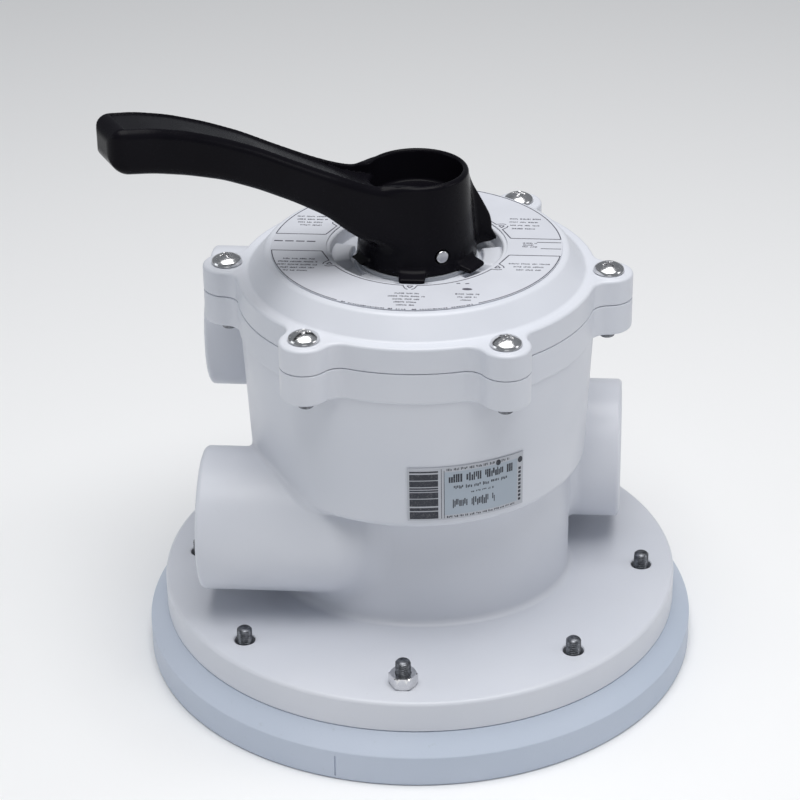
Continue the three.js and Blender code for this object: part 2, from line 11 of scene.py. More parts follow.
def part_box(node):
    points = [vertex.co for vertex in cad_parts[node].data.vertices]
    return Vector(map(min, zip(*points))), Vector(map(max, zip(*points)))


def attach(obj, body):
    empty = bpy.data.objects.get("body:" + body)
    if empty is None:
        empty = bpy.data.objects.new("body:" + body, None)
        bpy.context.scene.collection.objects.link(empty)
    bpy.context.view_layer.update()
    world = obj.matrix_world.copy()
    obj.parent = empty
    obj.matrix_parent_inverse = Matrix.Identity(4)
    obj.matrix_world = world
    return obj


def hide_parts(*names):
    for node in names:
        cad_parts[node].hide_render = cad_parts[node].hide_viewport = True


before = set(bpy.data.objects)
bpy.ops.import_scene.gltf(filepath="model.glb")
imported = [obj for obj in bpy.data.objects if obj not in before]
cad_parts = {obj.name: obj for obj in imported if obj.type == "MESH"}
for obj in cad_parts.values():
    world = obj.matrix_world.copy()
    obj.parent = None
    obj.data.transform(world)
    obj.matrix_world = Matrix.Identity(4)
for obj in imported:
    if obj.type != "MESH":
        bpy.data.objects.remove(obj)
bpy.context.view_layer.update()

mm = 0.001
print("stage: frame loaded")


class Values(dict):  # a piece's dictionary, its entries also read with a dot
    __getattr__ = dict.__getitem__


# all sizes are in millimetres
def nodeBox(name):
    low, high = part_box(name)
    return low / mm, high / mm


def addMesh(name, points, faces, smoothAngle=None):
    mesh = bpy.data.meshes.new(name)
    mesh.from_pydata([tuple(p) for p in np.asarray(points, float) * mm], [], [tuple(f) for f in faces])
    mesh.validate()
    obj = bpy.data.objects.new(name, mesh)
    bpy.context.scene.collection.objects.link(obj)
    if smoothAngle is not None:
        mesh.shade_smooth()
        mesh.set_sharp_from_angle(angle=radians(smoothAngle))
    return obj


def finishPiece(obj, body, slotName, material, *nodes):
    obj.data.materials.clear()
    obj.data.materials.append(material)
    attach(obj, body)
    if nodes:
        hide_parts(*nodes)
    return obj


def applyModifiers(obj):  # the evaluated result becomes a plain mesh of the same object
    graph = bpy.context.evaluated_depsgraph_get()
    mesh = bpy.data.meshes.new_from_object(obj.evaluated_get(graph))
    obj.modifiers.clear()
    obj.data = mesh
    return obj


def roundedProfile(corners, steps=5):
    # corners are (radius, z) or (radius, z, rounding); a rounded corner becomes an arc
    points = []
    for before, corner, after in zip(corners[-1:] + corners[:-1], corners, corners[1:] + corners[:1]):
        here, rounding = Vector(corner[:2]), (*corner, 0)[2]
        if not rounding:
            points.append(here)
            continue
        back, on = ((Vector(other[:2]) - here).normalized() for other in (before, after))
        half = back.angle(on) / 2
        centre = (back + on).normalized() * rounding / sin(half)
        start, end = (way * rounding / tan(half) - centre for way in (back, on))
        for k in range(steps + 1):
            points.append(here + centre + start.lerp(end, k / steps).normalized() * rounding)
    return points


def addLathe(name, corners, sides=160, smoothAngle=32):
    # a closed profile turned about Z
    points, faces, rings = [], [], []
    for radius, z in roundedProfile(corners):
        turns = circleTurns(sides) if radius > 1e-6 else [0]
        rings.append([len(points) + i % len(turns) for i in range(sides)])
        points += [(*polar(radius, turn), z) for turn in turns]
    for low, high in zip(rings, rings[1:] + rings[:1]):
        for i in range(sides):
            k = (i + 1) % sides
            face = tuple(dict.fromkeys((low[i], low[k], high[k], high[i])))
            if len(face) > 2:  # on the axis a quad loses a corner or two
                faces.append(face)
    return addMesh(name, points, faces, smoothAngle)


def addRod(name, radius, low, high, sides=32, rounding=0):
    return addLathe(name, [(0, low), (radius, low, rounding), (radius, high), (0, high)], sides)


def loopFaces(count, rows, closed=False, base=0):
    # quads between loops of points listed one after another
    faces = []
    for j in range(rows if closed else rows - 1):
        low, high = base + j * count, base + (j + 1) % rows * count
        faces += [(low + i, low + (i + 1) % count, high + (i + 1) % count, high + i) for i in range(count)]
    return faces


def addPrism(name, outline, low, high):
    count = len(outline)
    points = [(x, y, z) for z in (low, high) for x, y in outline]
    return addMesh(name, points, [range(count)[::-1], range(count, 2 * count), *loopFaces(count, 2)])


def addRows(name, rows, smoothAngle=32):  # the last loop is joined to the first
    return addMesh(name, np.concatenate(rows), loopFaces(len(rows[0]), len(rows), True), smoothAngle)


def cutBy(obj, tools):
    for tool in tools:
        cut = obj.modifiers.new("cut", "BOOLEAN")
        cut.operation = "DIFFERENCE"
        cut.object = tool
        cut.solver = "EXACT"
    applyModifiers(obj)
    for tool in tools:
        bpy.data.objects.remove(tool)
    obj.data.shade_smooth()
    obj.data.set_sharp_from_angle(angle=radians(32))
    return obj


def turnObject(obj, matrix):
    obj.data.transform(matrix)
    return obj


def circleTurns(count):
    return [2 * pi * i / count for i in range(count)]


def polar(radius, turn):
    return radius * cos(turn), radius * sin(turn)


def arcPoints(radius, start, end, steps):
    return [polar(radius, radians(start + (end - start) * i / steps)) for i in range(steps + 1)]


def moveOut(obj, circle, turn, spin=0):  # to its place on a circle
    place = Vector((*polar(circle, turn), 0)) * mm
    return turnObject(obj, Matrix.Translation(place) @ Matrix.Rotation(spin, 4, "Z"))


# a field is the distance to a shape, negative inside it
def joinRound(a, b, rounding):
    near = np.hypot(np.maximum(rounding - a, 0), np.maximum(rounding - b, 0))
    return np.maximum(rounding, np.minimum(a, b)) - near


def meetRound(a, b, rounding):
    near = np.hypot(np.maximum(rounding + a, 0), np.maximum(rounding + b, 0))
    return np.minimum(-rounding, np.maximum(a, b)) + near


def cutRound(a, b, rounding):
    return meetRound(a, -b, rounding)


def meet(*fields):
    out = fields[0]
    for field in fields[1:]:
        out = np.maximum(out, field)
    return out


def fieldSlope(field, points, step=0.02):
    slope = np.empty_like(points)
    for axis in range(3):
        ahead, behind = points.copy(), points.copy()
        ahead[:, axis] += step
        behind[:, axis] -= step
        slope[:, axis] = (field(*ahead.T) - field(*behind.T)) / (2 * step)
    return slope


def fieldGrid(field, low, high, cell, block=6):
    # only the blocks near the surface are worked out in full
    low = np.array(low, float)
    blocks = np.ceil((np.array(high, float) - low) / (cell * block)).astype(int)
    middles = [low[a] + (np.arange(blocks[a]) * block + (block - 1) / 2) * cell for a in range(3)]
    coarse = field(*np.meshgrid(*middles, indexing="ij"))
    values = np.sign(coarse).astype(np.float32)
    for axis in range(3):
        values = np.repeat(values, block, axis)
    reach = 1.2 * ((block - 1) / 2 * sqrt(3) + 2) * cell
    near = np.argwhere(np.abs(coarse) < reach)
    inBlock = np.array(list(itertools.product(range(block), repeat=3)))
    index = (near[:, None, :] * block + inBlock[None]).reshape(-1, 3)
    values[tuple(index.T)] = field(*(low + index * cell).T)
    return low, values


def netFaces(inside, ids):
    # a quad round each grid edge that crosses the surface
    quads = []
    for axis in range(3):
        along, first, second = np.roll(np.eye(3, dtype=int), -axis, 0)
        size = inside.shape - along
        here = inside[:size[0], :size[1], :size[2]]
        edges = np.argwhere(here != inside[along[0]:, along[1]:, along[2]:])
        quad = np.stack([ids[tuple((edges - back).T)] for back in (first + second, second, 0, first)], 1)
        entering = ~here[tuple(edges.T)]
        quad[entering] = quad[entering][:, ::-1]
        quads.append(quad)
    return np.concatenate(quads)


def netPoints(values, cells):
    # the middle of the crossings on each cell's edges
    total, hits = np.zeros((len(cells), 3)), np.zeros(len(cells))
    for along in np.eye(3, dtype=int):
        for corner in itertools.product((0, 1), repeat=3):
            if along @ corner:
                continue
            a, b = cells + corner, cells + corner + along
            va, vb = values[tuple(a.T)], values[tuple(b.T)]
            crossed = (va < 0) != (vb < 0)
            share = va[crossed] / (va[crossed] - vb[crossed])
            total[crossed] += np.array(corner) + along * share[:, None]
            hits[crossed] += 1
    return cells + total / hits[:, None]


def addFieldMesh(name, field, low, high, cell, most=190000):
    low, values = fieldGrid(field, low, high, cell)
    inside = values < 0
    size = np.array(inside.shape) - 1
    mixed = np.zeros(size, bool)
    base = inside[:size[0], :size[1], :size[2]]
    for i, j, k in itertools.product((0, 1), repeat=3):
        mixed |= inside[i:i + size[0], j:j + size[1], k:k + size[2]] != base
    cells = np.argwhere(mixed)
    ids = np.full(size, -1)
    ids[tuple(cells.T)] = np.arange(len(cells))
    points = low + netPoints(values, cells) * cell
    quads = netFaces(inside, ids)
    settle(field, points, cell)
    obj = addMesh(name, points, quads)
    if 2 * len(quads) > most:
        thin = obj.modifiers.new("thin", "DECIMATE")
        thin.ratio = most / (2 * len(quads))
        applyModifiers(obj)
        points = np.array([v.co for v in obj.data.vertices]) / mm
        settle(field, points, cell)
        obj.data.vertices.foreach_set("co", (points * mm).ravel())
    slope = fieldSlope(field, points)
    slope /= np.maximum(np.linalg.norm(slope, axis=1), 1e-9)[:, None]
    obj.data.shade_smooth()
    obj.data.normals_split_custom_set_from_vertices(slope.tolist())
    print("stage:", name, len(quads), "faces from its field")
    return obj


def settle(field, points, cell):  # each point slides onto the surface
    for _ in range(3):
        slope = fieldSlope(field, points)
        steep = np.maximum((slope ** 2).sum(1), 0.05)
        move = slope * (field(*points.T) / steep)[:, None]
        points -= np.clip(move, -0.4 * cell, 0.4 * cell)


class Nodes:  # short names for the few node kinds used here
    def __init__(self, name):
        self.material = bpy.data.materials.new(name)
        self.material.use_nodes = True
        self.tree = self.material.node_tree
        self.where = self.add("ShaderNodeTexCoord").outputs["Object"]

    def put(self, socket, value):
        if isinstance(value, bpy.types.NodeSocket):
            self.tree.links.new(value, socket)
        elif isinstance(value, tuple) and len(value) < len(socket.default_value):
            socket.default_value = (*value, 1)
        else:
            socket.default_value = value

    def fill(self, node, inputs):
        for key, value in inputs.items():
            self.put(node.inputs[key.replace("_", " ")], value)
        return node

    def add(self, kind, **inputs):
        return self.fill(self.tree.nodes.new(kind), inputs)

    def noise(self, scale, detail=3, roughness=0.5, stretch=(1.0, 1.0, 1.0)):
        where = self.add("ShaderNodeMapping", Vector=self.where, Scale=stretch).outputs["Vector"]
        return self.add("ShaderNodeTexNoise", Vector=where, Scale=scale, Detail=detail,
                        Roughness=roughness).outputs["Fac"]

    def spread(self, value, low, high, fromLow=0.3, fromHigh=0.7):
        return self.add("ShaderNodeMapRange", Value=value, From_Min=fromLow, From_Max=fromHigh,
                        To_Min=low, To_Max=high).outputs["Result"]

    def mix(self, factor, first, second):
        node = self.tree.nodes.new("ShaderNodeMix")
        node.data_type = "RGBA"
        for index, value in ((0, factor), (6, first), (7, second)):
            self.put(node.inputs[index], value)
        return node.outputs[2]

    def bump(self, height, strength, distance, **below):
        return self.add("ShaderNodeBump", Height=height, Strength=strength, Distance=distance,
                        **below).outputs["Normal"]

    def finish(self, **inputs):
        self.fill(self.tree.nodes["Principled BSDF"], inputs)
        return self.material


cameraSet = Values(
    azimuth=4.24, elevation=28.41, roll=0.55, distance=1348.6, lens=115.45,
    targetHeight=143.9, shiftX=-0.0227, shiftY=-0.0069,
)


def addCamera(v):
    azimuth, elevation, roll = (radians(v[k]) for k in ("azimuth", "elevation", "roll"))
    target = Matrix.Translation(Vector((0, 0, v.targetHeight)) * mm)
    turn = (Matrix.Rotation(azimuth, 4, "Z") @ Matrix.Rotation(pi / 2 - elevation, 4, "X")
            @ Matrix.Rotation(-roll, 4, "Z"))
    data = bpy.data.cameras.new("camera")
    data.lens, data.sensor_width, data.clip_end = v.lens, 36, 20
    data.shift_x, data.shift_y = v.shiftX, v.shiftY
    camera = bpy.data.objects.new("camera", data)
    camera.matrix_world = target @ turn @ Matrix.Translation((0, 0, v.distance * mm))
    bpy.context.scene.collection.objects.link(camera)
    bpy.context.scene.camera = camera


lightSet = Values(
    world=0.25, worldColour=(0.90, 0.94, 1.0),
    lamps=[  # name, place in metres, size, watts, colour
        ("skyPanel", (0.10, -0.22, 1.6), 1.3, 23, (1.0, 0.99, 0.98)),
        ("frontFill", (0.25, -1.7, 0.22), 0.8, 1.0, (1.0, 1.0, 1.0)),
        ("leftStrip", (-1.3, -0.25, 0.5), 0.6, 1.6, (0.92, 0.96, 1.0)),
        ("rightStrip", (1.15, -0.1, 0.65), 0.4, 1.2, (0.98, 0.98, 1.0)),
    ],
)


def addLight(v):
    world = bpy.data.worlds.new("studio")
    bpy.context.scene.world = world
    world.use_nodes = True
    back = world.node_tree.nodes["Background"]
    back.inputs["Color"].default_value = (*v.worldColour, 1)
    back.inputs["Strength"].default_value = v.world
    for name, place, size, power, colour in v.lamps:
        data = bpy.data.lights.new(name, "AREA")
        data.size, data.energy, data.color = size, power, colour
        lamp = bpy.data.objects.new(name, data)
        lamp.matrix_world = Matrix.Translation(place) @ (
            (Vector((0, 0, 0.15)) - Vector(place)).to_track_quat("-Z", "Y").to_matrix().to_4x4())
        bpy.context.scene.collection.objects.link(lamp)
    bpy.context.scene.view_settings.view_transform = "Standard"


floorSet = Values(size=9000, colour=(0.92, 0.925, 0.93), drop=0.2)


def addFloor(v):
    h, z = v.size, -v.drop
    floor = addMesh("floor", [(-h, -h, z), (h, -h, z), (h, h, z), (-h, h, z)], [(0, 1, 2, 3)])
    floor.data.materials.append(Nodes("paleFloor").finish(Base_Color=v.colour, Roughness=0.9))


addCamera(cameraSet)
addLight(lightSet)
addFloor(floorSet)
print("stage: camera, light and floor")


def mouldedPlastic(name, v):
    # slow clouding of the colour, fine moulding texture, and dust in the pores
    n = Nodes(name)
    cloud = n.noise(v.cloudScale, 2)
    colour = n.mix(n.spread(cloud, 0, 1), v.colour, v.clouded)
    specks = n.spread(n.noise(v.speckScale, 2, 0.7), 0, v.speckShare, 0.66, 0.8)
    colour = n.mix(specks, colour, v.speckColour)
    rough = n.spread(n.noise(v.cloudScale * 4, 4), v.roughness - 0.05, v.roughness + 0.07)
    waves = n.bump(n.noise(v.waveScale, 2), v.waveBump, 0.0012)
    pores = n.bump(n.noise(v.grainScale, 3, 0.65), v.grainBump, 0.0003, Normal=waves)
    return n.finish(Base_Color=colour, Roughness=rough, Normal=pores, IOR=1.5, Specular_IOR_Level=v.shine)


plasticSet = Values(
    white=Values(
        shine=0.5, colour=(0.69, 0.71, 0.765), clouded=(0.65, 0.675, 0.735), cloudScale=14, roughness=0.36,
        speckScale=420, speckShare=0.25, speckColour=(0.60, 0.61, 0.63),
        waveScale=26, waveBump=0.10, grainScale=1500, grainBump=0.10,
    ),
    ring=Values(
        shine=0.4, colour=(0.545, 0.60, 0.70), clouded=(0.495, 0.56, 0.665), cloudScale=10, roughness=0.44,
        speckScale=300, speckShare=0.4, speckColour=(0.42, 0.48, 0.53),
        waveScale=20, waveBump=0.16, grainScale=1100, grainBump=0.2,
    ),
    black=Values(
        shine=0.07, colour=(0.0035, 0.0032, 0.005), clouded=(0.006, 0.0055, 0.008), cloudScale=22,
        roughness=0.24, speckScale=500, speckShare=0.25, speckColour=(0.018, 0.017, 0.02),
        waveScale=32, waveBump=0.14, grainScale=1700, grainBump=0.16,
    ),
    grey=Values(
        shine=0.4, colour=(0.44, 0.46, 0.49), clouded=(0.39, 0.41, 0.45), cloudScale=18, roughness=0.5,
        speckScale=380, speckShare=0.4, speckColour=(0.3, 0.31, 0.33),
        waveScale=24, waveBump=0.14, grainScale=1300, grainBump=0.25,
    ),
)
whitePlastic = mouldedPlastic("whitePlastic", plasticSet.white)
ringPlastic = mouldedPlastic("ringPlastic", plasticSet.ring)
blackPlastic = mouldedPlastic("blackPlastic", plasticSet.black)
greyPlastic = mouldedPlastic("greyPlastic", plasticSet.grey)


def metal(name, v):
    n = Nodes(name)
    stain = n.spread(n.noise(v.stainScale, 4, 0.6), 0, 1, 0.42, 0.68)
    colour = n.mix(stain, v.colour, v.stained)
    streaks = n.noise(v.streakScale, 3, 0.6, v.streakStretch)
    rough = n.spread(streaks, v.roughness - 0.06, v.roughness + 0.12)
    normal = n.bump(streaks, v.bump, 0.0002)
    return n.finish(Base_Color=colour, Roughness=rough, Normal=normal, Metallic=1.0)


metalSet = Values(
    polished=Values(
        colour=(0.74, 0.74, 0.75), stained=(0.60, 0.60, 0.61), stainScale=160, roughness=0.17,
        streakScale=900, streakStretch=(1, 1, 1), bump=0.10,
    ),
    # dark stained steel: the studs' own finish, and on the screw ends under the lobes a painted shade for the
    # shadow there
    weathered=Values(
        colour=(0.24, 0.25, 0.27), stained=(0.075, 0.08, 0.09), stainScale=340, roughness=0.34,
        streakScale=700, streakStretch=(1, 1, 3), bump=0.4,
    ),
    spring=Values(
        colour=(0.62, 0.62, 0.63), stained=(0.45, 0.45, 0.46), stainScale=120, roughness=0.24,
        streakScale=600, streakStretch=(1, 1, 4), bump=0.2,
    ),
)
polishedSteel = metal("polishedSteel", metalSet.polished)
agedSteelAndShade = metal("agedSteelAndShade", metalSet.weathered)
springSteel = metal("springSteel", metalSet.spring)

rubberSet = Values(colour=(0.013, 0.013, 0.014), bloom=(0.05, 0.05, 0.052), grain=900, roughness=0.7)


def rubberMaterial(v):
    n = Nodes("blackRubber")
    colour = n.mix(n.spread(n.noise(60, 4, 0.6), 0, 0.8, 0.45, 0.8), v.colour, v.bloom)
    rough = n.spread(n.noise(140, 3), v.roughness - 0.1, v.roughness + 0.12)
    return n.finish(Base_Color=colour, Roughness=rough, Normal=n.bump(n.noise(v.grain, 3), 0.3, 0.0003))


blackRubber = rubberMaterial(rubberSet)

filmSet = Values(dial=(0.66, 0.68, 0.74), sticker=(0.40, 0.46, 0.53), paper=(0.50, 0.52, 0.57))


def filmMaterial(name, colour, roughness):
    n = Nodes(name)
    fade = n.spread(n.noise(35, 3), 0, 1)
    shade = n.mix(fade, colour, tuple(c * 0.94 for c in colour))
    rough = n.spread(n.noise(120, 3), roughness - 0.05, roughness + 0.08)
    return n.finish(Base_Color=shade, Roughness=rough, Normal=n.bump(n.noise(700, 2), 0.12, 0.0002))


def inkMaterial(name, colour):  # print that has worn thin in places
    n = Nodes(name)
    wear = n.spread(n.noise(900, 4, 0.7), 0, 0.7, 0.52, 0.75)
    shade = n.mix(wear, colour, tuple(min(1, c + 0.16) for c in colour))
    return n.finish(Base_Color=shade, Roughness=n.spread(n.noise(300, 2), 0.4, 0.55))


dialFilm = filmMaterial("dialFilm", filmSet.dial, 0.36)
stickerFilm = filmMaterial("stickerFilm", filmSet.sticker, 0.42)
dialInk = inkMaterial("dialInk", (0.075, 0.075, 0.10))
stickerInk = inkMaterial("stickerInk", (0.018, 0.022, 0.035))
print("stage: materials")

flangeLow, flangeHigh = nodeBox("mounting_flange")
flangeTop = flangeHigh.z
chamberBottom = nodeBox("valve_body")[0].z

bodySet = Values(
    chamberLow=87.6, chamberHigh=91.2, rimBottom=187.6, edge=3.5,
    waistX=80.3, waistY=66.7, wall=6, footFillet=3.5, shoulderFillet=3,
    portFillet=7, upperFillet=5, mouthRound=2.4, boreRound=1.0,
    bore=31.5, passage=26, socketDepth=38, lowerRoot=45, upperRoot=30, passageStart=40,
    plateTop=126, boreLow=82, boreHigh=84, windowIn=30, windowOut=72, windowHalf=24,
    tube=40.3, sideHalf=26, frontHalf=56, frontFloor=50, neck=20,
    cell=1.5,
)


def portSize(name, side, root):
    # side, middle Y, middle Z, radius, reach, root
    low, high = nodeBox(name)
    return (side, (low.y + high.y) / 2, (low.z + high.z) / 2, (high.z - low.z) / 2,
            high.x if side > 0 else -low.x, root)


returnPort = portSize("return_port", -1, bodySet.lowerRoot)
wastePort = portSize("waste_port", 1, bodySet.lowerRoot)
pumpPort = portSize("pump_port", -1, bodySet.upperRoot)


def chamberRadius(z):
    v = bodySet
    return v.chamberLow + (v.chamberHigh - v.chamberLow) / (v.rimBottom - chamberBottom) * (z - chamberBottom)


def ellipseField(x, y, a, b):
    k = np.hypot(x / a, y / b)
    return k * (k - 1) / np.maximum(np.hypot(x / a ** 2, y / b ** 2), 1e-9)


def portField(x, y, z, port):
    side, py, pz, radius, reach, root = port
    inward = np.maximum(root - side * x, 0)
    wall = np.sqrt((y - py) ** 2 + (z - pz) ** 2 + inward ** 2) - radius
    return meetRound(wall, side * x - reach, bodySet.mouthRound)


def boreField(x, y, z, port):
    v = bodySet
    side, py, pz, _, reach, _ = port
    out = np.hypot(y - py, z - pz)
    socket = meet(out - v.bore, reach - v.socketDepth - side * x)
    passage = meet(out - v.passage, v.passageStart - side * x)
    return np.minimum(socket, passage)


def sectorField(x, y, rad, first, step, half):
    # negative within half degrees of every step-th direction
    turn = (np.degrees(np.arctan2(y, x)) - first + step / 2) % step - step / 2
    return np.radians(np.abs(turn) - half) * rad


def bodyField(x, y, z):
    v = bodySet
    rad = np.hypot(x, y)
    chamber = meetRound(rad - chamberRadius(z), chamberBottom - z, v.edge)
    chamber = meet(chamber, z - v.rimBottom - 3)
    waist = ellipseField(x, y, v.waistX, v.waistY)
    foot = joinRound(waist, z - flangeTop + 0.01, v.footFillet)
    solid = meet(foot, waist - v.footFillet - 0.4, z - chamberBottom - 20)
    for port in (returnPort, wastePort):
        solid = joinRound(solid, portField(x, y, z, port), v.portFillet)
    solid = joinRound(solid, chamber, v.shoulderFillet)
    solid = joinRound(solid, portField(x, y, z, pumpPort), v.upperFillet)
    for port in (returnPort, wastePort, pumpPort):
        solid = cutRound(solid, boreField(x, y, z, port), v.boreRound)
    # the rooms inside
    room = meet(rad - v.boreLow - (v.boreHigh - v.boreLow) * (z - v.plateTop) / 78, v.plateTop - z)
    windows = meet(v.windowIn - rad, rad - v.windowOut, sectorField(x, y, rad, 0, 60, v.windowHalf),
                   chamberBottom - 2 - z, z - v.plateTop - 2)
    hollow = meet(ellipseField(x, y, v.waistX - v.wall, v.waistY - v.wall), v.tube - rad,
                  z - chamberBottom)
    sides = meet(hollow, sectorField(x, y, rad, 0, 180, v.sideHalf))
    fronts = meet(hollow, sectorField(x, y, rad, 90, 180, v.frontHalf), v.frontFloor - z)
    stem = np.minimum(meet(rad - v.tube, z - chamberBottom), rad - v.neck)
    solid = meet(solid, -room, -windows, -sides, -fronts, -stem)
    return meet(solid, flangeTop - 0.3 - z)


valveBody = addFieldMesh("valveMoulding", bodyField, (-118, -96, flangeTop - 3),
                         (112, 96, bodySet.rimBottom + 6), bodySet.cell)
finishPiece(valveBody, "valve", "white_plastic", whitePlastic,
            "port_body", "return_port", "waste_port", "pump_port")

ringHigh = nodeBox("tank_ring")[1]
flangeSet = Values(
    spigotBore=80, roof=36, spigot=89, underside=26.4, edge=2.0,
    studCircle=120, hole=5.4, sink=5.9, sinkDepth=0.5, studs=8,
)
ringSet = Values(
    bore=92, side=16.7, shoulder=137.6, edge=1.3, grooveIn=97.3, grooveOut=103.7,
    grooveDepth=5.2, socket=4.3, socketFloor=7.7, markTurn=-103, markWidth=0.9, markDepth=0.7,
)


def sidePassageTool(middle):
    v = bodySet
    outer = []
    for i in range(17):
        turn = radians(middle - v.sideHalf + i * v.sideHalf / 8)
        outer.append(polar(1 / hypot(cos(turn) / (v.waistX - v.wall), sin(turn) / (v.waistY - v.wall)), turn))
    inner = arcPoints(v.tube - 0.3, middle + v.sideHalf, middle - v.sideHalf, 16)
    return addPrism("passageTool", outer + inner, 5, 60)


def studTool(v, turn):
    top = flangeTop
    tool = addLathe("studTool", [(0, 20), (v.hole, 20), (v.hole, top - v.sinkDepth), (v.sink, top),
                                 (v.sink, top + 3), (0, top + 3)], 48)
    return moveOut(tool, v.studCircle, turn)


studTurns = circleTurns(flangeSet.studs)


def addFlange(v):
    reach = flangeHigh.x
    flange = addLathe("mountingFlange", [
        (0, v.roof), (v.spigotBore, v.roof), (v.spigotBore, flangeLow.z, 0.6),
        (v.spigot, flangeLow.z, 1), (v.spigot, v.underside), (reach, v.underside, 0.6),
        (reach, flangeTop, v.edge), (0, flangeTop)], 256)
    tools = [sidePassageTool(0), sidePassageTool(180), addRod("riserTool", bodySet.tube, 5, 60, 96)]
    return levelNormals(cutBy(flange, tools + [studTool(v, turn) for turn in studTurns]))


def levelNormals(obj):  # broad flat faces keep their own direction beside rounded edges
    for face in obj.data.polygons:
        if abs(face.normal.z) > 0.9999:
            face.use_smooth = False
    level = obj.modifiers.new("level", "WEIGHTED_NORMAL")
    level.keep_sharp = True
    return applyModifiers(obj)


def addRing(v):
    reach, top, floor = ringHigh.x, ringHigh.z, ringHigh.z - v.grooveDepth
    ring = addLathe("tankRing", [
        (v.bore, 0, 0.8), (reach, 0, v.edge), (reach, v.side, v.edge), (v.shoulder, top, 1.6),
        (v.grooveOut, top), (v.grooveOut, floor), (v.grooveIn, floor), (v.grooveIn, top),
        (v.bore, top, 0.8)], 256)
    tools = [moveOut(addRod("socketTool", v.socket, v.socketFloor, 40), flangeSet.studCircle, turn)
             for turn in studTurns]
    half = v.markWidth / 2  # a moulding mark on the outer face
    inner, outer = reach - v.markDepth, reach + 2
    mark = addPrism("markTool", [(inner, -half), (outer, -half), (outer, half), (inner, half)], 2, 14)
    tools.append(turnObject(mark, Matrix.Rotation(radians(v.markTurn), 4, "Z")))
    return levelNormals(cutBy(ring, tools))


finishPiece(addFlange(flangeSet), "valve", "white_plastic", whitePlastic, "mounting_flange")
finishPiece(addRing(ringSet), "valve", "ring_plastic", ringPlastic, "tank_ring")
print("stage: flange and ring")

rimSet = Values(
    radius=92.3, lobes=6, lobeCircle=98, lobeRadius=12.5, neck=9, edge=1.6, seam=0.7,
    bodyTop=204.3, inner=84, chamberJoin=86, hole=4.4, flats=13.6, pocketDepth=7.1,
    grooveIn=85.6, grooveOut=89.6, grooveDepth=3.6,
)
lidSet = Values(
    rimTop=218.4, shoulder=86.5, shoulderFillet=2.6, crown=76, crownRound=3.4, plane=229.9,
    recess=44, lip=1.2, channel=222, seat=224.1, seatRadius=32, bossRadius=17, bossBottom=197,
    bore=10.4, ceiling=214, highCeiling=221, wall=5,
)
toothSet = Values(inner=33.8, outer=44.6, top=225.6, bottom=221.6, halfGap=12.2, slope=2.6, round=0.7)


def lobedOutline(v):
    # points round the rim with the direction each one faces: hollow, lobe, hollow, then plain rim
    reach, span, circle = v.radius + v.neck, v.lobeRadius + v.neck, v.lobeCircle
    swing = acos((circle ** 2 + reach ** 2 - span ** 2) / (2 * circle * reach))
    bend = atan2(reach * sin(swing), reach * cos(swing) - circle)
    arcs = [(reach, -swing, v.neck, pi - swing, pi - bend, 9, -1),
            (circle, 0, v.lobeRadius, -bend, bend, 18, 1),
            (reach, swing, v.neck, pi + bend, pi + swing, 9, -1),
            (0, 0, v.radius, swing, 2 * pi / v.lobes - swing, 10, 1)]
    points, facing = [], []
    for turn in circleTurns(v.lobes):
        for out, aside, radius, start, end, steps, sign in arcs:
            centre = np.array(polar(out, turn + aside))
            for i in range(steps):
                aim = turn + start + (end - start) * i / steps
                points.append(centre + polar(radius, aim))
                facing.append(polar(sign, aim))
    return np.array(points), np.array(facing)


rimPoints, rimFacing = lobedOutline(rimSet)
rimTurn = np.arctan2(rimPoints[:, 1], rimPoints[:, 0])


def lobedRow(inset, z):
    return np.column_stack([rimPoints - rimFacing * inset, np.full(len(rimPoints), z)])


def roundRow(radius, z):
    return np.column_stack([radius * np.cos(rimTurn), radius * np.sin(rimTurn), np.full(len(rimTurn), z)])


def lobedEdge(z, rounding, upward, steps=5):
    # rows that round the rim's outer edge, into the top face or out of the bottom face
    rows = []
    for i in range(steps + 1):
        t = pi / 2 * (i / steps if upward else 1 - i / steps)
        height = z - rounding + rounding * sin(t) if upward else z + rounding - rounding * sin(t)
        rows.append(lobedRow(rounding * (1 - cos(t)), height))
    return rows


def rimTools(low, high):
    return [moveOut(addRod("holeTool", rimSet.hole, low, high), rimSet.lobeCircle, turn)
            for turn in circleTurns(rimSet.lobes)]


def pocketTool(v, turn):
    outline = [polar(v.flats / sqrt(3), radians(30 + 60 * k)) for k in range(6)]
    tool = addPrism("pocketTool", outline, bodySet.rimBottom - 2, bodySet.rimBottom + v.pocketDepth)
    return moveOut(tool, v.lobeCircle, turn, turn)


def addBodyRim(v):
    low, top = bodySet.rimBottom, v.bodyTop
    floor = top - v.grooveDepth
    steps = [(v.grooveOut, top), (v.grooveOut, floor), (v.grooveIn, floor), (v.grooveIn, top),
             (v.inner, top), (v.inner, top - 8), (v.chamberJoin, low + 4)]
    rim = addRows("bodyRim", [roundRow(v.chamberJoin, low), *lobedEdge(low, v.edge, False),
                              *lobedEdge(top, v.seam, True), *[roundRow(*step) for step in steps]])
    return levelNormals(cutBy(rim, [pocketTool(v, turn) for turn in circleTurns(v.lobes)]
                              + rimTools(low, top + 2)))


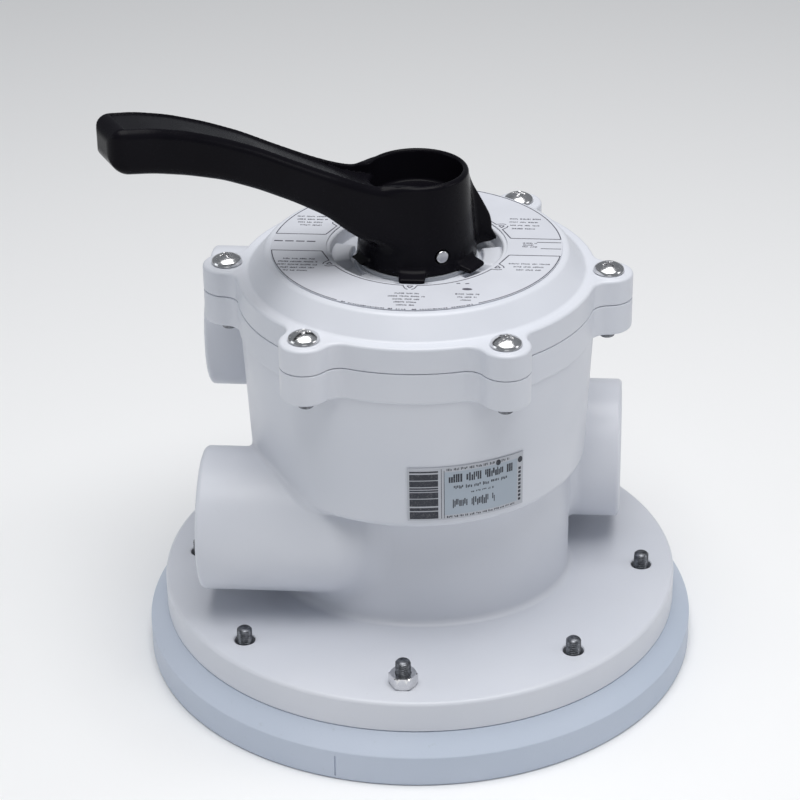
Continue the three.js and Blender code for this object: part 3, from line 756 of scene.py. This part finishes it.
def addLid(v):
    rimLow = rimSet.bodyTop + 0.3
    dome = roundedProfile([(v.shoulder + 9, v.rimTop), (v.shoulder, v.rimTop, v.shoulderFillet),
                           (v.crown + 1.2, v.plane, v.crownRound), (v.recess, v.plane, v.lip),
                           (v.recess - 0.6, v.channel, 0.8), (v.seatRadius, v.channel),
                           (v.seatRadius, v.seat, 0.5), (v.bore, v.seat, 0.6),
                           (v.bore, v.bossBottom), (v.bossRadius, v.bossBottom, 0.8),
                           (v.bossRadius, v.ceiling), (v.recess, v.ceiling),
                           (v.recess + v.wall, v.highCeiling), (v.crown - v.wall, v.highCeiling),
                           (rimSet.inner - 3, v.rimTop - 3), (rimSet.inner, rimLow)], 7)
    rows = [*lobedEdge(rimLow, rimSet.seam, False), *lobedEdge(v.rimTop, rimSet.edge, True),
            *[roundRow(p.x, p.y) for p in dome[1:]]]
    shell = addRows("lidShell", rows)
    return levelNormals(cutBy(shell, rimTools(rimLow - 2, v.rimTop + 2)))


def addTeeth(v):
    points, faces = [], []
    for notch in range(6):
        start, base, rows = -90 + 60 * notch, len(points), []
        for inset, z in ((0, v.bottom), (0, v.top - v.round * 1.4), (0.35, v.top - v.round * 0.5),
                         (v.round * 1.3, v.top)):
            share = (z - v.bottom) / (v.top - v.bottom)
            gap = v.halfGap + v.slope * share + degrees(inset / v.inner)
            rows.append([(x, y, z) for x, y in arcPoints(v.outer, start + gap, start + 60 - gap, 14)
                         + arcPoints(v.inner + inset, start + 60 - gap, start + gap, 14)])
        count = len(rows[0])
        points += sum(rows, [])
        faces += [range(base, base + count)[::-1], *loopFaces(count, len(rows), base=base)]
        top = len(points) - count
        back = len(points) - 1
        faces += [(top + i, top + i + 1, back - i - 1, back - i) for i in range(count // 2 - 1)]
    return levelNormals(addMesh("indexTeeth", points, faces, 40))


finishPiece(addBodyRim(rimSet), "valve", "white_plastic", whitePlastic, "valve_body")
finishPiece(addLid(lidSet), "valve", "white_plastic", whitePlastic, "lid")
finishPiece(addTeeth(toothSet), "valve", "white_plastic", whitePlastic)
print("stage: rims and lid")

handleLow, handleHigh = nodeBox("handle")
handleSet = Values(
    turn=210, hubLow=30.7, hubHigh=26.4, hubBottom=226.7, hubTop=273.5, rimRound=2.0,
    dish=22.4, dishFloor=256.5, dishSlope=0.06, dishRound=1.5, lip=4.2, lipRound=1.3, sideRound=4.8,
    blend=7, tip=163.4, tipRound=8.5, heelHalf=8, heelRound=1.6,
    lugs=((210, 228.4), (270, 226), (330, 226)),  # direction and underside
    lugRoot=12, lugReach=37, lugHalf=6.2, lugShoulder=228.3, lugFall=0.25, lugSpread=0.25,
    slotHalfLength=15, slotHalfWidth=10.6, slotTop=253, relief=32.5, pinHole=3.8, pinHeight=236.1,
    cell=1.0,
)
# the lever along its length: distance out, underside, top edge, half width, floor of its channel
leverShape = [
    (0, 240, 273.0, 12, 266), (9, 240, 273.0, 17, 266), (18, 241, 273.2, 19.6, 267.5),
    (27, 243, 274.4, 19.4, 270), (36, 246, 277.8, 17.5, 274.4), (44, 252.4, 281.8, 15.8, 279.2),
    (54, 262, 286.8, 14.8, 284.8), (71, 273, 296, 14.6, 294.4), (90, 283.8, 306.7, 14.6, 305.3),
    (108, 292.4, 315, 14.6, 313.7), (126, 298.3, 321.8, 14.6, 320.6), (143, 302.6, 326.2, 14.6, 325.1),
    (170, 306.5, 329.6, 14.3, 328.6),
]
# the heel opposite the lever: distance out and height, a fin with a low toe
heelFin = [(12, 228), (39.7, 228), (39.2, 244.7), (32, 256.3), (25, 271), (12, 271)]
heelToe = [(12, 228), (42.6, 228), (42.2, 230), (39.6, 234), (12, 234)]


def softCurve(stations, column, reach=9):
    # the listed stations joined by lines and then softened, as a table in 1 mm steps
    out = np.arange(-40, 240)
    value = np.interp(out, [s[0] for s in stations], [s[column] for s in stations])
    weight = np.hanning(2 * reach + 1)
    padded = np.pad(value, reach, mode="edge")
    return out, np.convolve(padded, weight / weight.sum(), "valid")


leverCurves = {key: softCurve(leverShape, i + 1) for i, key in enumerate(("low", "high", "half", "floor"))}


def halfPlanes(outline, a, b, rounding):
    field = None
    for (a0, b0), (a1, b1) in zip(outline, outline[1:] + outline[:1]):
        length = hypot(a1 - a0, b1 - b0)
        side = ((a - a0) * (b1 - b0) - (b - b0) * (a1 - a0)) / length
        field = side if field is None else meetRound(field, side, rounding)
    return field


def lugField(x, y, z, turn, bottom):  # a tab under the hub with a sloping top
    v = handleSet
    out, across = x * cos(turn) + y * sin(turn), np.abs(y * cos(turn) - x * sin(turn))
    sides = meetRound(out - v.lugReach, across - v.lugHalf - v.lugSpread * (z - bottom), 0.8)
    slope = (z - v.lugShoulder - v.lugFall * (v.lugReach - out)) / hypot(1, v.lugFall)
    return meet(meetRound(sides, slope, 1.0), v.lugRoot - out, bottom - z)


def handleField(x, y, z):
    v = handleSet
    c, s = cos(radians(v.turn)), sin(radians(v.turn))
    out, across = x * c + y * s, np.abs(y * c - x * s)
    rad = np.hypot(x, y)
    cone = (v.hubLow - v.hubHigh) / (v.hubTop - v.hubBottom)
    hub = meetRound(rad - v.hubLow + cone * (z - v.hubBottom), z - v.hubTop, v.rimRound)
    hub = meetRound(hub, v.hubBottom - z, 0.8)
    low, high, half, floor = (np.interp(out, *leverCurves[k]) for k in ("low", "high", "half", "floor"))
    middle, tall = (low + high) / 2, (high - low) / 2
    ahead = np.interp(out + 1, *leverCurves["low"]) + np.interp(out + 1, *leverCurves["high"])
    slope = np.clip(ahead / 2 - middle, 0, 1.2)
    r = v.sideRound
    qa, qz = across - half + r, (np.abs(z - middle) - tall) / np.sqrt(1 + slope ** 2) + r
    lever = np.hypot(np.maximum(qa, 0), np.maximum(qz, 0)) + np.minimum(np.maximum(qa, qz), 0) - r
    lever = meetRound(meet(lever, -out), out - v.tip, v.tipRound)
    solid = joinRound(hub, lever, v.blend)
    solid = meet(solid, z - np.maximum(high, v.hubTop) - 0.5)
    side = joinRound(halfPlanes(heelFin, -out, z, v.heelRound), halfPlanes(heelToe, -out, z, 0.6), 1.5)
    heel = meetRound(side, across - v.heelHalf, v.heelRound)
    solid = joinRound(solid, heel, 3)
    for turn, bottom in v.lugs:
        solid = joinRound(solid, lugField(x, y, z, radians(turn), bottom), 2.2)
    dish = meetRound(rad - v.dish - v.dishSlope * (z - v.dishFloor), v.dishFloor - z, v.dishRound)
    above = (floor - z) / np.sqrt(1 + slope ** 2)
    channel = meet(across - half + v.lip, above, out - v.tip + 2 * v.lip, -out)
    solid = cutRound(solid, joinRound(dish, channel, 2.5), v.lipRound)
    slot = meet(np.abs(out) - v.slotHalfLength, across - v.slotHalfWidth, z - v.slotTop)
    under = meet(rad - v.relief, z - v.hubBottom)
    pinHole = np.hypot(out, z - v.pinHeight) - v.pinHole
    return cutRound(meet(solid, -slot, -under), pinHole, 0.8)


handle = addFieldMesh("handleGrip", handleField, handleLow - Vector((4, 4, 3)),
                      handleHigh + Vector((4, 4, 4)), handleSet.cell)
finishPiece(handle, "handle", "black_plastic", blackPlastic, "handle")

pinSet = Values(radius=3.3, halfLength=30.0, chamfer=0.7)
pinLow, pinHigh = nodeBox("handle_pin")


def addPin(v):
    h, r, c = v.halfLength, v.radius, v.chamfer
    pin = addLathe("handlePin", [(0, -h), (r, -h, c), (r, h, c), (0, h)], 40)
    turn = Matrix.Rotation(radians(handleSet.turn + 90), 4, "Z") @ Matrix.Rotation(pi / 2, 4, "Y")
    place = Matrix.Translation(Vector((0, 0, (pinLow.z + pinHigh.z) / 2)) * mm)
    return levelNormals(turnObject(pin, place @ turn))


finishPiece(addPin(pinSet), "rotor", "steel", polishedSteel, "handle_pin")
print("stage: handle")


def circleCopies(material):
    # one copy on each point of a circle, turned outward, twisted a little and lifted
    tree = bpy.data.node_groups.new("copiesOnCircle", "GeometryNodeTree")
    tree.interface.new_socket("Geometry", in_out="OUTPUT", socket_type="NodeSocketGeometry")
    for name, kind in {"Geometry": "Geometry", "master": "Object", "count": "Int", "circle": "Float",
                       "height": "Float", "firstTurn": "Float", "twist": "Float", "seed": "Int"}.items():
        tree.interface.new_socket(name, in_out="INPUT", socket_type="NodeSocket" + kind)
    nodes = {name: tree.nodes.new(kind) for name, kind in {
        "source": "NodeGroupInput", "result": "NodeGroupOutput", "ring": "GeometryNodeMeshCircle",
        "turn": "ShaderNodeCombineXYZ", "turned": "GeometryNodeTransform", "info": "GeometryNodeObjectInfo",
        "copies": "GeometryNodeInstanceOnPoints", "where": "GeometryNodeInputPosition",
        "aim": "FunctionNodeAlignRotationToVector", "negate": "ShaderNodeMath",
        "random": "FunctionNodeRandomValue", "angle": "ShaderNodeCombineXYZ",
        "euler": "FunctionNodeEulerToRotation", "spin": "FunctionNodeRotateRotation",
        "real": "GeometryNodeRealizeInstances", "lift": "ShaderNodeCombineXYZ",
        "raised": "GeometryNodeSetPosition", "paint": "GeometryNodeSetMaterial",
    }.items()}
    nodes["aim"].axis, nodes["spin"].rotation_space, nodes["negate"].operation = "X", "LOCAL", "MULTIPLY"
    nodes["negate"].inputs[1].default_value = -1
    nodes["paint"].inputs["Material"].default_value = material
    for start, output, end, socket in (
            ("source", "count", "ring", "Vertices"), ("source", "circle", "ring", "Radius"),
            ("ring", 0, "turned", "Geometry"), ("source", "firstTurn", "turn", "Z"),
            ("turn", 0, "turned", "Rotation"), ("turned", 0, "copies", "Points"),
            ("source", "master", "info", "Object"), ("info", "Geometry", "copies", "Instance"),
            ("where", 0, "aim", "Vector"), ("source", "twist", "negate", 0), ("negate", 0, "random", 2),
            ("source", "twist", "random", 3), ("source", "seed", "random", "Seed"),
            ("random", 1, "angle", "Z"), ("angle", 0, "euler", 0), ("aim", 0, "spin", 0),
            ("euler", 0, "spin", 1), ("spin", 0, "copies", "Rotation"), ("copies", 0, "real", "Geometry"),
            ("real", 0, "raised", "Geometry"), ("source", "height", "lift", "Z"),
            ("lift", 0, "raised", "Offset"), ("raised", 0, "paint", "Geometry"),
            ("paint", 0, "result", "Geometry")):
        tree.links.new(nodes[start].outputs[output], nodes[end].inputs[socket])
    return tree


def addCopies(name, master, material, v):
    holder = addMesh(name, [(0, 0, 0)], [])
    layer = holder.modifiers.new("copies", "NODES")
    layer.node_group = circleCopies(material)
    given = {**v, "master": master, "circle": v.circle * mm, "height": v.height * mm}
    for socket in layer.node_group.interface.items_tree:
        if socket.in_out == "INPUT" and socket.name in given:
            layer[socket.identifier] = given[socket.name]
    applyModifiers(holder)
    bpy.data.objects.remove(master)
    return holder


def joinMeshes(name, parts):
    points, faces = [], []
    for part in parts:
        base = len(points)
        points += [tuple(v.co / mm) for v in part.data.vertices]
        faces += [tuple(base + i for i in p.vertices) for p in part.data.polygons]
        bpy.data.objects.remove(part)
    return addMesh(name, points, faces, 34)


screwSet = Values(
    head=8, headHeight=4.4, domeRadius=11.5, edge=0.9, crossLength=3.9, crossHalf=0.75,
    crossDepth=2.1, shank=4, shankLength=31.3, tipLength=36.9, cell=0.36,
    count=6, circle=98, height=218.7, firstTurn=0.0, twist=1.6, seed=4,
)


def screwField(x, y, z):
    v = screwSet
    rad = np.hypot(x, y)
    dome = np.sqrt(rad ** 2 + (z - v.headHeight + v.domeRadius) ** 2) - v.domeRadius
    head = meetRound(meetRound(rad - v.head, dome, v.edge), -z, 0.3)
    widen = 0.18 * (z - v.headHeight)
    bars = [meet(np.abs(a) - v.crossHalf - widen, np.abs(b) - v.crossLength - 2 * widen)
            for a, b in ((x, y), (y, x))]
    cross = meet(np.minimum(*bars), v.headHeight - v.crossDepth - z)
    return cutRound(head, cross, 0.3)


def screwMaster(v):
    head = addFieldMesh("screwHead", screwField, (-9, -9, -1), (9, 9, 5.2), v.cell)
    shank = addRod("screwShank", v.shank, -v.shankLength, 0.4, 24, 0.8)
    return joinMeshes("screwMaster", [head, shank])


def screwTipMaster(v):  # the end that comes out below its nut, dark steel here as painted shade for the shadow under its lobe
    return addRod("screwTip", v.shank, -v.tipLength, -v.shankLength - 0.05, 24, 0.8)


studSet = Values(
    radius=4, pitch=1.25, thread=0.55, low=8, top=50.5, threadFrom=36, chamfer=1.1,
    count=8, circle=120, height=0, firstTurn=0.0, twist=3.0, seed=9,
)


def threadedMaster(name, v, top, sides=26):
    # a plain shank, then a helical ridge up to the chamfered end
    ridged = top - v.threadFrom
    fineRows = int(ridged / v.pitch * 6)
    levels = [v.low, v.threadFrom - 0.01]
    levels += [v.threadFrom + ridged * i / fineRows for i in range(fineRows + 1)]
    points = []
    for z in levels:
        for i in range(sides):
            phase = (z / v.pitch - i / sides) % 1
            depth = v.thread * abs(2 * phase - 1) if z >= v.threadFrom else 0
            radius = min(v.radius - depth, v.radius - v.chamfer + max(0, (top - z) * 1.1))
            points.append((*polar(radius, 2 * pi * i / sides), z))
    count, last, faces = len(points), len(points) - sides, loopFaces(sides, len(levels))
    for i in range(sides):
        k = (i + 1) % sides
        faces += [(count, k, i), (last + i, last + k, count + 1)]
    return addMesh(name, points + [(0, 0, v.low), (0, 0, top + 0.15)], faces, 50)


nutSet = Values(
    flats=13, height=6.5, bore=3.7, chamfer=0.9,
    count=6, circle=98, firstTurn=0.0, twist=0.0, seed=1,
)


def nutMaster(v):
    # a hexagon whose corners are turned off by a cone top and bottom
    corner, drop, top, bore = v.flats / sqrt(3), v.chamfer * 0.55, v.height, v.bore
    rows = []
    for z, cap in ((0, corner - v.chamfer), (drop, corner), (top - drop, corner), (top, corner - v.chamfer),
                   (top, bore + 0.5), (top - 0.5, bore), (0.5, bore), (0, bore + 0.5)):
        rows.append([])
        for turn in circleTurns(72):
            folded = (turn + pi / 6) % (pi / 3) - pi / 6
            rows[-1].append((*polar(min(v.flats / 2 / cos(folded), cap), turn), z))
    return addRows("nutMaster", rows, 28)


screws = addCopies("lidScrews", screwMaster(screwSet), polishedSteel, screwSet)
finishPiece(screws, "valve", "steel", polishedSteel, *[f"lid_screw_{i}" for i in range(1, 7)])
# the screw ends below the lobes take the dark steel as painted shade for the shadow under the lobes, though
# the heads above are polished
shadedTips = addCopies("screwTips", screwTipMaster(screwSet), agedSteelAndShade, screwSet)
finishPiece(shadedTips, "valve", "steel", agedSteelAndShade)
nuts = addCopies("lidNuts", nutMaster(nutSet), polishedSteel, Values(nutSet, height=bodySet.rimBottom + 0.3))
finishPiece(nuts, "valve", "steel", polishedSteel, *[f"lid_nut_{i}" for i in range(1, 7)])
studs = addCopies("flangeStuds", threadedMaster("studMaster", studSet, studSet.top), agedSteelAndShade, studSet)
finishPiece(studs, "valve", "steel", agedSteelAndShade, *[f"flange_stud_{i}" for i in (1, 2, 3, 4, 5, 6, 8)])
frontStud = threadedMaster("frontStud", studSet, nodeBox("flange_stud_7")[1].z)
frontPlace = Vector((0, -flangeSet.studCircle, 0)) * mm
turnObject(frontStud, Matrix.Translation(frontPlace))
finishPiece(frontStud, "valve", "steel", agedSteelAndShade, "flange_stud_7")
frontNut = nutMaster(nutSet)
frontNut.name = "frontNut"
nutPlace = frontPlace + Vector((0, 0, nodeBox("flange_nut")[0].z)) * mm
turnObject(frontNut, Matrix.Translation(nutPlace) @ Matrix.Rotation(pi / 2, 4, "Z"))
finishPiece(frontNut, "valve", "steel", polishedSteel, "flange_nut")
print("stage: fasteners")

dialLow, dialHigh = nodeBox("dial_label")
dialSet = Values(
    inner=46.2, outer=74.3, lineIn=47.6, lineOut=73.9, line=0.55, gapHalf=10, cornerTurn=22, boxIn=48.6,
    inkHeight=0.05, rowHeight=1.3, seed=11,
    blocks=[  # middle X, first row Y, row pitch, row widths
        (-56.3, 31.8, 3.6, (16, 15.5, 14, 11)), (-58, -19.6, 3.4, (16, 20, 20, 17, 13)),
        (-0.8, -56.4, 3.2, (12, 18, 13, 11.5, 8.5)), (29, -55.8, 3.3, (12, 9.5, 6)),
        (54.4, 34, 4, (16, 16, 15, 13)), (58, -20, 3.5, (20, 15, 12)), (0.5, 66.5, 3.6, (12, 18, 14, 9)),
        (57.6, 4.6, 2.2, (7, 6.4, 7)),
    ],
    bars=[  # middle X, Y, length, thickness
        (67.2, 5.9, 12.4, 0.6), (68.4, -1.6, 10.4, 0.6), (-71, 1.2, 4.4, 1.1), (-65.4, 1.2, 4.4, 1.1),
        (-59.8, 1.2, 4.4, 1.1), (-54.2, 1.2, 4.4, 1.1),
    ],
    sign=(28.4, -50.2),
)


class Print:  # closed thin patches of ink gathered into one mesh
    def __init__(self, place):
        self.points, self.faces, self.place = [], [], place

    def band(self, first, second):
        # two lists of plan points with ink between them
        base, count = len(self.points), len(first)
        for height in (0, 1):
            self.points += [self.place(a, b, height) for a, b in [*first, *second]]
        lowA, lowB, topA, topB = (base + count * k for k in range(4))
        for i in range(count - 1):
            j = i + 1
            self.faces += [(topA + i, topB + i, topB + j, topA + j), (lowA + i, lowA + j, lowB + j, lowB + i),
                           (lowA + i, topA + i, topA + j, lowA + j), (lowB + i, lowB + j, topB + j, topB + i)]
        for i in (0, count - 1):
            self.faces.append((lowA + i, lowB + i, topB + i, topA + i))

    def finish(self, name):
        obj = addMesh(name, self.points, self.faces)
        shape = bmesh.new()
        shape.from_mesh(obj.data)
        bmesh.ops.recalc_face_normals(shape, faces=shape.faces)
        shape.to_mesh(obj.data)
        shape.free()
        return obj


def dialPlace(x, y, height):
    return (x, y, dialHigh.z + 0.01 + height * dialSet.inkHeight)


def inkLine(ink, start, end, width):
    start, end = Vector(start), Vector(end)
    side = Vector((end - start).yx).normalized() * width / 2
    side.x = -side.x
    ink.band([tuple(start - side), tuple(end - side)], [tuple(start + side), tuple(end + side)])


def inkArc(ink, radius, start, end, width):
    steps = max(2, int(abs(end - start) / 3))
    ink.band(*(arcPoints(radius + side * width / 2, start, end, steps) for side in (-1, 1)))


def inkSpot(ink, x, y, halfWide, halfTall, sides):
    rim = [(x + halfWide * cos(t), y + halfTall * sin(t)) for t in circleTurns(sides)]
    ink.band([(x, y)] * (sides + 1), rim + rim[:1])


def inkWords(ink, draw, x, y, width, height):
    # a level row of small upright marks in word-like groups, centred on x and y
    place = x - width / 2
    while place < x + width / 2 - 0.6:
        end = min(place + draw.uniform(2.2, 5.5), x + width / 2)
        while place < end:
            wide = draw.uniform(0.3, 0.6)
            low, high = draw.choice(((0, 1), (0, 1), (0, 0.7), (0.25, 1), (0.1, 0.8)))
            inkLine(ink, (place, y + (low - 0.5) * height), (place, y + (high - 0.5) * height), wide)
            place += wide + draw.uniform(0.12, 0.3)
        place += 0.9


def inkHalf(ink, v, sign):
    # the outline of one half of the dial: outer arc, two straight ends and the inner arc with its pointers
    lineOut, boxIn, gap = v.lineOut, v.boxIn, v.gapHalf
    start = degrees(asin(gap / lineOut))
    for low, high in ((start, 180 - start),) if sign > 0 else ((start, 62), (118, 180 - start)):
        inkArc(ink, lineOut, sign * low, sign * high, v.line)
    for side in (-1, 1):
        outer, inner = ((side * sqrt(radius ** 2 - gap ** 2), sign * gap) for radius in (lineOut, boxIn))
        corner = (side * v.lineIn * cos(radians(v.cornerTurn)), sign * v.lineIn * sin(radians(v.cornerTurn)))
        inkLine(ink, outer, inner, v.line * 1.2)
        inkLine(ink, inner, corner, v.line * 1.2)
    for low, high in ((22, 26), (34, 86), (94, 146), (154, 158)):
        inkArc(ink, v.lineIn, sign * low, sign * high, v.line)
    for middle in (30, 90, 150):
        inkPointer(ink, v, sign * middle)


def inkPointer(ink, v, turn):
    outward = Vector(polar(1, radians(turn)))
    along = Vector((-outward.y, outward.x))
    base, tip = v.lineIn - 0.2, v.lineIn + 4.4
    strokes = [(base + 0.6, -1.5, base + 0.6, 1.5)]  # out and across, at each end
    for side in (-1, 1):
        strokes += [(base, 3.6 * side, tip - 1.2, 2.4 * side), (tip - 1.2, 2.4 * side, tip, side),
                    (base + 0.6, 1.5 * side, base + 3.0, 0)]
    for out, across, farOut, farAcross in strokes:
        inkLine(ink, outward * out + along * across, outward * farOut + along * farAcross, v.line)


def addDialPrint(v):
    draw = random.Random(v.seed)
    ink = Print(dialPlace)
    inkHalf(ink, v, 1)
    inkHalf(ink, v, -1)
    for x, y, pitch, widths in v.blocks:
        for i, width in enumerate(widths):
            inkWords(ink, draw, x, y - pitch * i, width, v.rowHeight)
    for turn in range(-116, -64, 1):  # a curved row of print in the gap of the outer line
        if draw.random() < 0.84:
            inkArc(ink, v.lineOut, turn + 0.12, turn + draw.uniform(0.5, 0.95), draw.uniform(0.7, 1.15))
    for x, y, width, line in v.bars:
        inkLine(ink, (x - width / 2, y), (x + width / 2, y), line)
    centre = Vector(v.sign)  # a small oval sign above the short block
    inkSpot(ink, *centre, 2.5, 1.2, 20)
    for side in (-1, 1):
        inkLine(ink, centre + Vector((2.2 * side - 3.4, 6.0)), centre + Vector((2.2 * side - 1.6, 6.4)), 0.8)
    return ink.finish("dialPrint")


dialFilmPiece = addLathe("dialFilm", [
    (dialSet.inner, dialLow.z), (dialSet.outer, dialLow.z), (dialSet.outer, dialHigh.z, 0.15),
    (dialSet.inner, dialHigh.z, 0.15)], 192)
finishPiece(levelNormals(dialFilmPiece), "valve", "label_film", dialFilm, "dial_label")
finishPiece(addDialPrint(dialSet), "valve", "label_film", dialInk)

stickerSet = Values(
    startTurn=-89.5, endTurn=-50, low=120, high=151, lift=0.3, thick=0.35, film=0.02, ink=0.03, seed=5,
    margin=1.0, codeEdges=(1.0, 15.2), codeBars=(0.9, 1.3, 1.8, 3.4, 4.2), codeGaps=(0.5, 0.6, 0.9),
    # left, right, low and high edge, a negative one measured from the far edge
    panel=(18.3, -3.6, 2.6, -3.0), rules=[(16.7, 16.95, 0.8, -0.8), (18.1, 18.35, 0.8, -2.0)],
    words=[  # then the thinnest and the thickest stroke
        (20.5, -6.5, 21.6, 26.4, 0.5, 1.0), (23.0, -9.5, 17.6, 19.6, 0.35, 0.7),
        (32.0, 44.0, 14.4, 15.5, 0.3, 0.6), (22.5, 44.5, 6.4, 11.6, 0.45, 0.75),
        (19.5, -4.5, 0.9, 2.1, 0.25, 0.6), (19.5, -8.5, -2.3, -0.9, 0.25, 0.5),
    ],
    marks=9, markPitch=2.3, firstMark=(-2.9, -1.4, 2.5, 4.0), spots=[(46.5, -2.2, 1.7), (-1.9, -4.2, 1.8)],
)


def stickerPlace(lift, thick):
    # across in millimetres from the label's left edge, up from its bottom edge
    def place(across, up, height):
        z = stickerSet.low + up
        radius = chamberRadius(z) + lift + height * thick
        turn = radians(stickerSet.startTurn) + across / chamberRadius(z)
        return (radius * cos(turn), radius * sin(turn), z)
    return place


def inkRect(ink, left, right, low, high):
    steps = max(1, int((right - left) / 1.5))
    across = [left + (right - left) * i / steps for i in range(steps + 1)]
    ink.band([(a, low) for a in across], [(a, high) for a in across])


def inkMarks(ink, draw, left, right, low, high, thin, thick):
    # upright strokes in word-like groups
    place = left
    while place < right:
        word = min(right, place + draw.uniform(5, 9) * (high - low) / 4)
        while place < word:
            wide = draw.uniform(thin, thick)
            cutLow, cutHigh = draw.choice(((0, 0), (0, 0), (0.35, 0), (0, 0.3), (0.15, 0.15)))
            tall = high - low
            inkRect(ink, place, min(place + wide, right), low + cutLow * tall, high - cutHigh * tall)
            place += wide + draw.uniform(0.2, 0.45)
        place += 1.1 * (high - low) / 4 + 0.4


def addSticker(v):
    width = radians(v.endTurn - v.startTurn) * chamberRadius((v.low + v.high) / 2)
    height, draw = v.high - v.low, random.Random(v.seed)
    paper, panel, ink = (Print(stickerPlace(lift, thick)) for lift, thick in (
        (v.lift, v.thick), (v.lift + v.thick, v.film), (v.lift + v.thick + v.ink, v.ink)))

    def edges(row):
        return [edge + size if edge < 0 else edge for edge, size in zip(row, (width, width, height, height))]

    inkRect(paper, 0, width, 0, height)
    inkRect(panel, *edges(v.panel))
    level = v.margin
    while level < height - v.margin - 0.4:  # the striped code block
        thick = min(draw.choice(v.codeBars), height - v.margin - level)
        inkRect(ink, *v.codeEdges, level, level + thick)
        level += thick + draw.choice(v.codeGaps)
    for rule in v.rules:
        inkRect(ink, *edges(rule))
    for *row, thin, thick in v.words:
        inkMarks(ink, draw, *edges(row), thin, thick)
    left, right, low, high = edges(v.firstMark)
    for i in range(v.marks):
        inkRect(ink, left, right, low + v.markPitch * i, high + v.markPitch * i)
    for across, up, size in v.spots:
        across, _, up, _ = edges((across, 0, up, 0))
        inkSpot(ink, across, up, size * 0.8, size, 16)
    return paper.finish("stickerPaper"), panel.finish("stickerPanel"), ink.finish("stickerPrint")


paperFilm = filmMaterial("paperFilm", filmSet.paper, 0.45)
sticker, stickerPanel, stickerPrint = addSticker(stickerSet)
finishPiece(sticker, "valve", "label_film", paperFilm, "body_label")
finishPiece(stickerPanel, "valve", "label_film", stickerFilm)
finishPiece(stickerPrint, "valve", "label_film", stickerInk)
print("stage: labels")

# the pieces that keep their modelled shape get finished surfaces
carried = {
    whitePlastic: ("riser_tube", "gauge_plug"),
    greyPlastic: ("rotor", "slide_washer"),
    blackRubber: ("tank_ring_seal", "lid_seal", "spider_gasket", "shaft_o_ring_1", "shaft_o_ring_2",
                  "gauge_seal"),
    springSteel: ("spring", "spring_seat_lower", "spring_seat_upper"),
}
for material, names in carried.items():
    for name in names:
        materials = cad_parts[name].data.materials
        materials.clear()
        materials.append(material)
print("stage: carried pieces")
